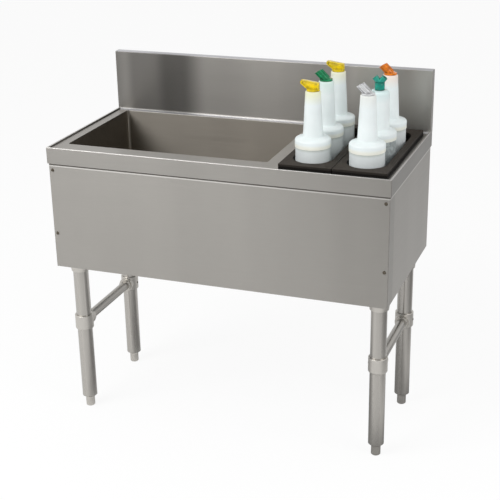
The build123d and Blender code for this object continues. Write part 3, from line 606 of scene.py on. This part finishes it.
# tints of painted top light for the trays and the splash
TRAY_TOP_LIGHT = (2.0, 1.95, 1.9)
SPLASH_TOP_LIGHT = (1.40, 1.45, 1.60)
SPLASH_REFLECTION = (
    (0.0, 0.44), (1.0, 1.6), (0.03, 0.52), (0.06, 0.38), (0.13, 0.44), (0.17, 0.32),
    (0.22, 0.34), (0.31, 0.85), (0.55, 1.0), (0.68, 0.95), (0.8, 1.42), (0.88, 1.25),
)
# the front and side panels carry the painted shadow and highlight under the apron
PANEL_STEEL = make_sheet_steel("panel_steel", STEEL, 0.42, seam_shaded=True)
# the side panels' steel is a lighter copy of the panel steel: painted light
LIT_SIDE_STEEL = make_sheet_steel("side_steel", shade(STEEL, 1.14), 0.42, seam_shaded=True)
# the rim's ends get painted shade, and its lip a painted highlight
RIM_STEEL = make_sheet_steel("rim_steel", STEEL, 0.38, painted_end_shade=0.78, lip_highlighted=True)
# the splash gets painted reflection bands and painted top light
SPLASH_STEEL = make_sheet_steel(
    "splash_steel", STEEL, 0.38, mottle=(1.0, 1.0, 0.1), density=7.0, cloud=0.10,
    reflection_bands=SPLASH_REFLECTION, top_light=SPLASH_TOP_LIGHT,
)
BASIN_STEEL = make_sheet_steel("basin_steel", (0.36, 0.33, 0.288), 0.38, cloud=0.08)
POST_STEEL = make_sheet_steel(
    "post_steel", shade(STEEL, 1.32), 0.28,
    lying=POST_STROKES, facing=POST_STROKES, tube_axis=(0.0, 0.0, 1.0),
)
RAIL_STEEL = make_sheet_steel(
    "rail_steel", shade(STEEL, 1.15), 0.30,
    lying=RAIL_STROKES, facing=RAIL_STROKES, tube_axis=(0.0, 1.0, 0.0),
)
CAST_STEEL = make_cast_steel("cast_steel", shade(STEEL, 1.6), 0.42)
ZINC_SHEET = make_spangled_zinc("zinc_sheet")
SCREW_STEEL = make_cast_steel("screw_steel", (0.16, 0.14, 0.11), 0.36)
DRAIN_CHROME = make_cast_steel("drain_chrome", (0.58, 0.57, 0.55), 0.24)
GASKET_RUBBER = make_moulded_plastic("gasket_rubber", (0.035, 0.035, 0.035), 0.6)
# the trays get painted shade below the groove and painted top light
TRAY_PLASTIC = make_moulded_plastic("tray_plastic", (0.020, 0.0165, 0.0135), 0.62, groove=TRAY_GROOVE)
FOAM = make_foam("insulation_foam")

NODES_OF_FINISH = (
    (RIM_STEEL, ["rim_deck"]),
    (SPLASH_STEEL, ["backsplash"]),
    (PANEL_STEEL, ["front_panel"]),
    (LIT_SIDE_STEEL, ["left_side_panel", "right_side_panel"]),
    (ZINC_SHEET, ["rear_panel", "bottom_pan", "left_leg_channel", "right_leg_channel"]),
    (BASIN_STEEL, ["ice_liner", "bottle_well_liner"]),
    (FOAM, ["insulation"]),
    (DRAIN_CHROME, ["drain_body", "drain_locknut", "drain_strainer"]),
    (GASKET_RUBBER, ["drain_gasket"]),
    (SCREW_STEEL, ["front_panel_screws", "rear_panel_screws", "leg_socket_bolts", "set_screws"]),
    (RAIL_STEEL, ["left_side_rail", "right_side_rail"]),
    (TRAY_PLASTIC, ["left_bottle_insert", "right_bottle_insert"]),
    (POST_STEEL, [f"leg_{place}" for place in LEG_PLACES]),
    (CAST_STEEL, [f"leg_socket_{place}" for place in LEG_PLACES]),
    (CAST_STEEL, [f"rail_tee_{place}" for place in LEG_PLACES]),
    (CAST_STEEL, [f"foot_{place}" for place in LEG_PLACES]),
    (CAST_STEEL, ["foot_plugs"]),
)
for finish, node_names in NODES_OF_FINISH:
    for node_name in node_names:
        slots = nodes[node_name].data.materials
        slots.clear()
        slots.append(finish)


# Mesh helpers

def new_object(name, mesh):
    piece = bpy.data.objects.new(name, mesh)
    bpy.context.scene.collection.objects.link(piece)
    return piece


def finish_mesh(mesh, material, sharp_angle=35.0):
    mesh.polygons.foreach_set("use_smooth", [True] * len(mesh.polygons))
    mesh.set_sharp_from_angle(angle=math.radians(sharp_angle))
    mesh.materials.clear()
    mesh.materials.append(material)
    mesh.update()


def baked(piece):
    """The piece's mesh with its modifiers applied, as a new plain mesh."""
    graph = bpy.context.evaluated_depsgraph_get()
    mesh = bpy.data.meshes.new_from_object(piece.evaluated_get(graph))
    piece.modifiers.clear()
    return mesh


def softened(node_name, material, width):
    """A copy of a CAD node, merged and with its sharp edges rounded, that stands for the node."""
    mesh = nodes[node_name].data.copy()
    work = bmesh.new()
    work.from_mesh(mesh)
    bmesh.ops.remove_doubles(work, verts=work.verts, dist=SAME_POINT)
    bmesh.ops.dissolve_limit(work, angle_limit=math.radians(0.5), verts=work.verts, edges=work.edges)
    work.to_mesh(mesh)
    work.free()
    piece = new_object(f"{node_name}_look", mesh)
    rounding = piece.modifiers.new("rounding", "BEVEL")
    rounding.width = width
    rounding.segments = 2
    rounding.limit_method = "ANGLE"
    rounding.angle_limit = math.radians(30.0)
    piece.data = baked(piece)
    finish_mesh(piece.data, material)
    return piece


def arc(center, radius, start, end, steps=6):
    """Points (radius, height) on an arc, angles in degrees."""
    angles = [math.radians(start + (end - start) * step / steps) for step in range(steps + 1)]
    return [(center[0] + radius * math.cos(a), center[1] + radius * math.sin(a)) for a in angles]


def lathe(name, outline, x, y):
    """Turn a closed outline of (radius, height) points, listed anticlockwise, round a vertical axis."""
    work = bmesh.new()
    rings = []
    for radius, height in outline:
        if radius < SAME_POINT:
            rings.append([work.verts.new((x, y, height))] * TURN_STEPS)
            continue
        ring = []
        for step in range(TURN_STEPS):
            turn = 2 * math.pi * step / TURN_STEPS
            ring.append(work.verts.new((x + radius * math.cos(turn), y + radius * math.sin(turn), height)))
        rings.append(ring)
    for lower, upper in zip(rings, rings[1:] + rings[:1]):
        for step in range(TURN_STEPS):
            after = (step + 1) % TURN_STEPS
            corners = []
            for vertex in (lower[step], lower[after], upper[after], upper[step]):
                if vertex not in corners:
                    corners.append(vertex)
            if len(corners) > 2:
                work.faces.new(corners)
    bmesh.ops.recalc_face_normals(work, faces=work.faces)
    mesh = bpy.data.meshes.new(name)
    work.to_mesh(mesh)
    work.free()
    return new_object(name, mesh)


# Geometry node trees

def geometry_tree(name, inputs):
    """Start a geometry tree; inputs are (name, socket kind, default)."""
    tree = bpy.data.node_groups.new(name, "GeometryNodeTree")
    tree.interface.new_socket(name="Geometry", in_out="INPUT", socket_type="NodeSocketGeometry")
    for socket_name, kind, value in inputs:
        socket = tree.interface.new_socket(name=socket_name, in_out="INPUT", socket_type=kind)
        if value is not None:
            socket.default_value = value
    tree.interface.new_socket(name="Geometry", in_out="OUTPUT", socket_type="NodeSocketGeometry")
    return tree, add_node(tree, "NodeGroupInput").outputs, add_node(tree, "NodeGroupOutput").inputs


def transformed(tree, geometry, **inputs):
    """Geometry moved, turned or scaled; an input is a vector or the output that feeds it."""
    node = add_node(tree, "GeometryNodeTransform")
    join(tree, geometry, node.inputs["Geometry"])
    for name, value in inputs.items():
        fill(tree, node.inputs[name.title()], value)
    return node.outputs[0]


def end_with(tree, instances, material, end):
    """Make the instances real, give them their material and put them out."""
    real = add_node(tree, "GeometryNodeRealizeInstances")
    join(tree, instances, real.inputs[0])
    colored = add_node(tree, "GeometryNodeSetMaterial")
    join(tree, real.outputs[0], colored.inputs["Geometry"])
    join(tree, material, colored.inputs["Material"])
    join(tree, colored.outputs[0], end["Geometry"])


def run_tree(name, tree, **values):
    """Run a geometry tree on an empty mesh, with its named inputs, and keep the result as a plain mesh."""
    piece = new_object(name, bpy.data.meshes.new(name))
    modifier = piece.modifiers.new("make", "NODES")
    modifier.node_group = tree
    for item in tree.interface.items_tree:
        key = item.name.lower().replace(" ", "_")
        if item.in_out == "INPUT" and key in values:
            modifier[item.identifier] = values[key]
    piece.data = baked(piece)
    return piece


def make_rib_ring():
    """Upright half-sunk ribs, evenly spaced round a vertical axis."""
    tree, start, end = geometry_tree(
        "rib_ring",
        (
            ("Count", "NodeSocketInt", RIB_COUNT),
            ("Radius", "NodeSocketFloat", JAR_RADIUS),
            ("Size", "NodeSocketVector", (RIB_DEPTH, RIB_WIDTH, 0.1)),
            ("Center", "NodeSocketVector", None),
            ("Material", "NodeSocketMaterial", None),
        ),
    )
    ring = add_node(tree, "GeometryNodeMeshCircle")
    join(tree, start["Count"], ring.inputs["Vertices"])
    join(tree, start["Radius"], ring.inputs["Radius"])
    rib = add_node(tree, "GeometryNodeMeshCylinder")
    rib.inputs["Vertices"].default_value = 10
    rib.inputs["Radius"].default_value = 0.5
    rib.inputs["Depth"].default_value = 1.0
    shaped = transformed(tree, rib.outputs["Mesh"], scale=start["Size"])
    position = add_node(tree, "GeometryNodeInputPosition")
    facing = add_node(tree, "FunctionNodeAlignRotationToVector", axis="X")
    join(tree, position.outputs[0], facing.inputs["Vector"])
    spread = add_node(tree, "GeometryNodeInstanceOnPoints")
    join(tree, ring.outputs[0], spread.inputs["Points"])
    join(tree, shaped, spread.inputs["Instance"])
    join(tree, facing.outputs[0], spread.inputs["Rotation"])
    end_with(tree, transformed(tree, spread.outputs[0], translation=start["Center"]), start["Material"], end)
    return tree


def make_screw_rows():
    """Pan-head screws with a cross recess, in even rows on an upright panel; Turn sets where they face."""
    tree, start, end = geometry_tree(
        "screw_rows",
        (
            ("Columns", "NodeSocketInt", 2),
            ("Rows", "NodeSocketInt", 2),
            ("Spread", "NodeSocketVector", None),
            ("Center", "NodeSocketVector", None),
            ("Turn", "NodeSocketVector", None),
            ("Head Radius", "NodeSocketFloat", SCREW_HEAD),
            ("Crown Radius", "NodeSocketFloat", SCREW_HEAD - SCREW_CROWN),
            ("Head Height", "NodeSocketFloat", SCREW_HEIGHT),
            ("Slit", "NodeSocketVector", (RECESS_LENGTH, RECESS_WIDTH, SCREW_HEIGHT)),
            ("Cross Slit", "NodeSocketVector", (RECESS_WIDTH, RECESS_LENGTH, SCREW_HEIGHT)),
            ("Slit Place", "NodeSocketVector", (0.0, 0.0, 1.5 * SCREW_HEIGHT - RECESS_DEPTH)),
            ("Shank Radius", "NodeSocketFloat", SHANK_RADIUS),
            ("Shank Length", "NodeSocketFloat", SHANK_LENGTH),
            ("Shank Place", "NodeSocketVector", (0.0, 0.0, -SHANK_LENGTH / 2)),
            ("Material", "NodeSocketMaterial", None),
        ),
    )
    head = add_node(tree, "GeometryNodeMeshCone")
    head.inputs["Vertices"].default_value = 32
    join(tree, start["Head Radius"], head.inputs["Radius Bottom"])
    join(tree, start["Crown Radius"], head.inputs["Radius Top"])
    join(tree, start["Head Height"], head.inputs["Depth"])
    recess = add_node(tree, "GeometryNodeMeshBoolean", operation="DIFFERENCE")
    join(tree, head.outputs["Mesh"], recess.inputs[0])
    for size in (start["Slit"], start["Cross Slit"]):
        slit = add_node(tree, "GeometryNodeMeshCube")
        join(tree, size, slit.inputs["Size"])
        sunk = transformed(tree, slit.outputs["Mesh"], translation=start["Slit Place"])
        join(tree, sunk, recess.inputs[1])
    shank = add_node(tree, "GeometryNodeMeshCylinder")
    shank.inputs["Vertices"].default_value = 20
    join(tree, start["Shank Radius"], shank.inputs["Radius"])
    join(tree, start["Shank Length"], shank.inputs["Depth"])
    screw = add_node(tree, "GeometryNodeJoinGeometry")
    join(tree, recess.outputs["Mesh"], screw.inputs[0])
    join(tree, transformed(tree, shank.outputs["Mesh"], translation=start["Shank Place"]), screw.inputs[0])
    turned = transformed(tree, screw.outputs[0], rotation=start["Turn"])
    sheet = add_node(tree, "GeometryNodeMeshGrid")
    sheet.inputs["Size X"].default_value = 1.0
    sheet.inputs["Size Y"].default_value = 1.0
    join(tree, start["Columns"], sheet.inputs["Vertices X"])
    join(tree, start["Rows"], sheet.inputs["Vertices Y"])
    stood = transformed(tree, sheet.outputs["Mesh"], rotation=(math.pi / 2, 0.0, 0.0))
    placed = transformed(tree, stood, scale=start["Spread"], translation=start["Center"])
    spread = add_node(tree, "GeometryNodeInstanceOnPoints")
    join(tree, placed, spread.inputs["Points"])
    join(tree, turned, spread.inputs["Instance"])
    end_with(tree, spread.outputs[0], start["Material"], end)
    return tree


RIB_RING = make_rib_ring()
SCREW_ROWS = make_screw_rows()


# Panel screws

def make_panel_screws(node_name, columns, rows, faces_front):
    """Screws in place of a node of them; the node's box gives the rows their places."""
    low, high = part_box(node_name)
    inset = 2 * SCREW_HEAD
    seat = low.y + SCREW_HEIGHT if faces_front else high.y - SCREW_HEIGHT
    screws = run_tree(
        f"{node_name}_look",
        SCREW_ROWS,
        columns=columns,
        rows=rows,
        spread=(high.x - low.x - inset, 1.0, high.z - low.z - inset),
        center=((low.x + high.x) / 2, seat, (low.z + high.z) / 2),
        turn=(math.pi / 2 if faces_front else -math.pi / 2, 0.0, 0.0),
        material=SCREW_STEEL,
    )
    finish_mesh(screws.data, SCREW_STEEL, 25.0)
    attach(screws, "chest")
    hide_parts(node_name)


make_panel_screws("front_panel_screws", *FRONT_SCREWS, faces_front=True)
make_panel_screws("rear_panel_screws", *REAR_SCREWS, faces_front=False)


# Bottles

def make_jar(place, material):
    low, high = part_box(f"jar_{place}")
    x, y = (low.x + high.x) / 2, (low.y + high.y) / 2
    shoulder = high.z - FINISH_HEIGHT
    inner = JAR_RADIUS - JAR_WALL
    mouth = FINISH_RADIUS - JAR_WALL
    outline = [(0.0, low.z)]
    outline += arc((JAR_RADIUS - JAR_FOOT, low.z + JAR_FOOT), JAR_FOOT, -90, 0)
    outline += arc((JAR_RADIUS - JAR_SHOULDER, shoulder - JAR_SHOULDER), JAR_SHOULDER, 0, 90, 3)
    outline += [(FINISH_RADIUS, shoulder), (FINISH_RADIUS, high.z - LIP_EASE)]
    outline += [(FINISH_RADIUS - LIP_EASE, high.z)]
    outline += [(mouth, high.z), (mouth, shoulder - JAR_WALL), (inner, shoulder - 2 * JAR_WALL)]
    outline += [(inner, low.z + JAR_WALL), (0.0, low.z + JAR_WALL)]
    jar = lathe(f"jar_{place}_look", outline, x, y)
    rib_low = low.z + JAR_FOOT + RIB_END_GAP
    rib_high = shoulder - RIB_END_GAP
    ribs = run_tree(
        f"jar_{place}_ribs",
        RIB_RING,
        count=RIB_COUNT,
        radius=JAR_RADIUS - RIB_DEPTH / 2 + RIB_PROUD,
        size=(RIB_DEPTH, RIB_WIDTH, rib_high - rib_low),
        center=(x, y, (rib_low + rib_high) / 2),
        material=material,
    )
    merge_into(jar, ribs)
    finish_mesh(jar.data, material)
    return jar


def merge_into(piece, extra):
    """Put the extra piece's mesh into the first piece and delete the extra."""
    work = bmesh.new()
    work.from_mesh(piece.data)
    work.from_mesh(extra.data)
    work.to_mesh(piece.data)
    work.free()
    bpy.data.objects.remove(extra)


def make_neck(place, material):
    low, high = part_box(f"neck_{place}")
    x, y = (low.x + high.x) / 2, (low.y + high.y) / 2
    foot_radius, top_radius, shoulder, mouth = WIDE_NECK if place == WIDE_NECKED else SLIM_NECK
    collar_top = low.z - REST_GAP + COLLAR_HEIGHT
    ceiling = collar_top - COLLAR_ROOF
    inner = FINISH_RADIUS + THREAD_GAP
    outline = [(inner, low.z), (COLLAR_RADIUS, low.z)]
    outline += arc((COLLAR_RADIUS - COLLAR_ROUND, collar_top - COLLAR_ROUND), COLLAR_ROUND, 0, 80, 8)
    foot = foot_radius + NECK_FOOT_ROUND
    outline += arc((foot, collar_top + COLLAR_RISE + NECK_FOOT_ROUND), NECK_FOOT_ROUND, -95, -180, 6)
    bend = (top_radius - shoulder, high.z - shoulder)
    outline += arc(bend, shoulder, 0, 90, 8)
    outline += [(mouth + LIP_EASE, high.z), (mouth, high.z - LIP_EASE), (mouth, high.z - NECK_WALL)]
    outline += arc(bend, shoulder - NECK_WALL, 90, 0, 4)
    outline += [(foot_radius - NECK_WALL, ceiling), (inner, ceiling)]
    neck = lathe(f"neck_{place}_look", outline, x, y)
    finish_mesh(neck.data, material)
    return neck


# Colours up a jar, and up a neck with its collar, as (share of height, colour); the jar's top stop is a
# painted shadow under the collar, the neck's cream foot is painted shade, and the neck's top stop is a
# painted glow in the spout's colour

CLEAR_WHITE = (0.77, 0.82, 0.82)
COOL_WHITE = (0.83, 0.90, 0.90)
# painted shade at the foot of the collar
SHADED_CREAM = (0.85, 0.86, 0.77)
# the jar is darker towards the bottom, and its top stop is a painted shadow just under the collar
JAR_STOPS = ((0.0, (0.62, 0.68, 0.70)), (1.0, (0.55, 0.60, 0.56)), (0.70, CLEAR_WHITE), (0.955, CLEAR_WHITE))
GREY_STOPS = ((0.0, (0.34, 0.39, 0.42)), (1.0, (0.40, 0.45, 0.45)), (0.6, (0.55, 0.61, 0.62)))

JAR_WHITE = make_bottle_white("jar_white", JAR_FLOOR, JAR_TOP - FINISH_HEIGHT, JAR_STOPS)
JAR_GREY = make_bottle_white("jar_grey", JAR_FLOOR, JAR_TOP - FINISH_HEIGHT, GREY_STOPS, crumple=0.35)

# Each spout: material name, colour, clearness, and the colour of the painted glow it casts on the top of its
# neck
SPOUTS = {
    "left_front": ("yellow_spout", (1.0, 0.74, 0.0), 0.2, (0.86, 0.88, 0.60)),
    "left_middle": ("green_spout", (0.004, 0.33, 0.12), 0.3, (0.72, 0.88, 0.83)),
    "left_rear": ("yellow_spout", (1.0, 0.74, 0.0), 0.2, (0.88, 0.88, 0.66)),
    "right_front": ("clear_spout", (0.96, 0.97, 0.98), 0.35, (0.86, 0.89, 0.85)),
    "right_middle": ("teal_spout", (0.004, 0.38, 0.28), 0.3, (0.68, 0.84, 0.84)),
    "right_rear": ("orange_spout", (1.0, 0.27, 0.01), 0.2, (0.92, 0.77, 0.68)),
}

for place in BOTTLE_PLACES:
    slot, color, clearness, painted_light_tint = SPOUTS[place]
    neck_low, neck_high = (corner.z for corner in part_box(f"neck_{place}"))
    spout_low, spout_high = (corner.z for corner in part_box(f"spout_{place}"))
    # painted shade in cream at the collar's foot, and the spout's painted glow at the neck's top
    stops = ((0.0, SHADED_CREAM), (1.0, painted_light_tint), (0.035, SHADED_CREAM), (0.09, COOL_WHITE), (0.76, COOL_WHITE))
    neck_white = make_bottle_white(f"neck_white_{place}", neck_low, neck_high, stops)
    jar = make_jar(place, JAR_GREY if place == WIDE_NECKED else JAR_WHITE)
    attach(jar, f"jar_{place}")
    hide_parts(f"jar_{place}")
    neck = make_neck(place, neck_white)
    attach(neck, f"top_{place}")
    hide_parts(f"neck_{place}")
    plastic = make_spout_plastic(f"{slot}_{place}", color, clearness, spout_low, spout_high)
    spout = softened(f"spout_{place}", plastic, SPOUT_EDGE)
    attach(spout, f"top_{place}")
    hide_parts(f"spout_{place}")


# Floor, light and camera; the room is what the metal mirrors

FLOOR_SHADE = 0.12
FLOOR_IN_METAL = 0.3
FRONT_FADE = (-3.6, -2.5)
DOOR_SLANTS = (0.40, 0.62)
DOOR_SOFT = 0.08
DOOR_START = (-3.0, -2.3)
DOOR_TONE = 0.15
FAR_OFF = (10.0, 10.0, 10.0)
RIGHT_FADE = (0.9, 1.4)
# painted shadow under the chest, on the floor as the metal sees it
UNDER_CHEST_SHADOW = ((-0.30, 0.52), (-0.26, 0.24))
RIGHT_SCREEN = ((0.92, 1.50), (-0.50, 0.60))
DARK_PATCH_TONE = 0.35
DARK_PATCH_SOFT = 0.12
BRIGHT_SIDE = (-0.6, 0.8, 0.0)
BRIGHT_SPAN = (-0.35, 0.45)
OVERHEAD_SPAN = (0.35, 0.8)
ROOM_DIM = 0.42
ROOM_BRIGHT = 0.92
ROOM_TOP = 0.55
ROOM_LIGHT = 0.62
CAMERA_PLACE = (1.0534, -2.7455, 1.632)
CAMERA_YAW = 0.361
CAMERA_PITCH = 0.378
CAMERA_ROLL = 0.019
CAMERA_LENS = 83.77
CAMERA_SENSOR = 36.0


def seen_openly(tree):
    """1 for what the camera sees at first hand or through plastic."""
    path = add_node(tree, "ShaderNodeLightPath")
    return math_node(tree, "MAXIMUM", path.outputs["Is Camera Ray"], path.outputs["Is Transmission Ray"])


def dark_doorway(tree, place):
    """Dark in an upright strip in front on the left, a doorway that shows in the metal, and 1 elsewhere."""
    across, along, _ = parts_of(tree, place)
    strip = band(tree, math_node(tree, "DIVIDE", across, along), *DOOR_SLANTS, DOOR_SOFT)
    ahead = rescale(tree, along, *DOOR_START, 1.0, 0.0)
    return rescale(tree, math_node(tree, "MULTIPLY", strip, ahead), 0.0, 1.0, 1.0, DOOR_TONE)


def make_floor():
    bpy.ops.mesh.primitive_plane_add(size=60.0, location=(0.0, 0.0, 0.0))
    floor = bpy.context.object
    floor.name = "floor"
    material = bpy.data.materials.new("pale_floor")
    material.use_nodes = True
    tree = material.node_tree
    shader = tree.nodes["Principled BSDF"]
    shader.inputs["Roughness"].default_value = 0.9
    shader.inputs["Specular IOR Level"].default_value = 0.0
    path = add_node(tree, "ShaderNodeLightPath")
    place = add_node(tree, "ShaderNodeTexCoord").outputs["Object"]
    across, along, _ = parts_of(tree, place)
    front = rescale(tree, along, *FRONT_FADE, ROOM_DIM, 1.0)
    right = rescale(tree, across, *RIGHT_FADE, 1.0, ROOM_DIM)
    open_floor = math_node(tree, "MULTIPLY", front, right)
    lit = math_node(tree, "MULTIPLY", open_floor, dark_doorway(tree, place))
    # The floor as the metal sees it gets a painted shadow under the chest and a dark screen on the right.
    for x_span, y_span in (UNDER_CHEST_SHADOW, RIGHT_SCREEN):
        in_x = band(tree, across, *x_span, DARK_PATCH_SOFT)
        in_y = band(tree, along, *y_span, DARK_PATCH_SOFT)
        inside = math_node(tree, "MULTIPLY", in_x, in_y)
        lit = math_node(tree, "MULTIPLY", lit, rescale(tree, inside, 0.0, 1.0, 1.0, DARK_PATCH_TONE))
    plain = blend_colors(tree, path.outputs["Is Glossy Ray"], WHITE, lit)
    grey = times(tree, plain, (0.85, 0.85, 0.85))
    mirrored = math_node(tree, "MULTIPLY", path.outputs["Is Glossy Ray"], FLOOR_IN_METAL)
    white = math_node(tree, "MAXIMUM", seen_openly(tree), math_node(tree, "MULTIPLY", mirrored, lit))
    color = blend_colors(tree, white, grey, (FLOOR_SHADE, FLOOR_SHADE, FLOOR_SHADE))
    join(tree, color, shader.inputs["Base Color"])
    shader.inputs["Emission Color"].default_value = (1.0, 1.0, 1.0, 1.0)
    join(tree, math_node(tree, "MULTIPLY", white, 1 - FLOOR_SHADE), shader.inputs["Emission Strength"])
    floor.data.materials.append(material)


def make_world():
    """White where it is seen; metal sees a room that is bright behind on the left and dimmer elsewhere."""
    world = bpy.data.worlds.new("studio")
    bpy.context.scene.world = world
    world.use_nodes = True
    tree = world.node_tree
    room = tree.nodes["Background"]
    direction = add_node(tree, "ShaderNodeTexCoord").outputs["Generated"]
    toward = add_node(tree, "ShaderNodeVectorMath", operation="DOT_PRODUCT")
    join(tree, direction, toward.inputs[0])
    toward.inputs[1].default_value = BRIGHT_SIDE
    sides = rescale(tree, toward.outputs["Value"], *BRIGHT_SPAN, ROOM_DIM, ROOM_BRIGHT)
    sides = math_node(tree, "MULTIPLY", sides, dark_doorway(tree, vector_times(tree, direction, FAR_OFF)))
    overhead = rescale(tree, parts_of(tree, direction)[2], *OVERHEAD_SPAN, 0.0, 1.0)
    path = add_node(tree, "ShaderNodeLightPath")
    mirrored = blend_numbers(tree, overhead, sides, ROOM_TOP)
    metal = blend_numbers(tree, path.outputs["Is Glossy Ray"], ROOM_LIGHT, mirrored)
    join(tree, blend_numbers(tree, seen_openly(tree), metal, 1.0), room.inputs["Strength"])
    room.inputs["Color"].default_value = (1.0, 1.0, 1.0, 1.0)


def add_softbox(name, location, target, size, power):
    data = bpy.data.lights.new(name, "AREA")
    data.shape = "RECTANGLE"
    data.size, data.size_y = size
    data.energy = power
    lamp = bpy.data.objects.new(name, data)
    bpy.context.scene.collection.objects.link(lamp)
    lamp.location = location
    lamp.rotation_euler = (Vector(target) - Vector(location)).to_track_quat("-Z", "Y").to_euler()


def add_camera():
    """The photograph's view: a long lens from the front right, looking down."""
    forward = Vector((
        -math.sin(CAMERA_YAW) * math.cos(CAMERA_PITCH),
        math.cos(CAMERA_YAW) * math.cos(CAMERA_PITCH),
        -math.sin(CAMERA_PITCH),
    ))
    level = Vector((math.cos(CAMERA_YAW), math.sin(CAMERA_YAW), 0.0))
    down = forward.cross(level)
    right = math.cos(CAMERA_ROLL) * level + math.sin(CAMERA_ROLL) * down
    up = math.sin(CAMERA_ROLL) * level - math.cos(CAMERA_ROLL) * down
    data = bpy.data.cameras.new("camera")
    data.sensor_width = CAMERA_SENSOR
    data.lens = CAMERA_LENS
    camera = bpy.data.objects.new("camera", data)
    bpy.context.scene.collection.objects.link(camera)
    axes = Matrix((right, up, -forward)).transposed()
    camera.matrix_world = Matrix.Translation(CAMERA_PLACE) @ axes.to_4x4()
    bpy.context.scene.camera = camera


make_floor()
make_world()
add_softbox("key", location=(-1.6, -2.2, 2.6), target=(0.0, 0.0, 0.5), size=(2.0, 2.0), power=60.0)
add_softbox("fill", location=(2.6, -1.0, 1.8), target=(0.0, 0.0, 0.6), size=(1.6, 2.2), power=22.0)
add_camera()
bpy.context.scene.view_settings.view_transform = "Standard"
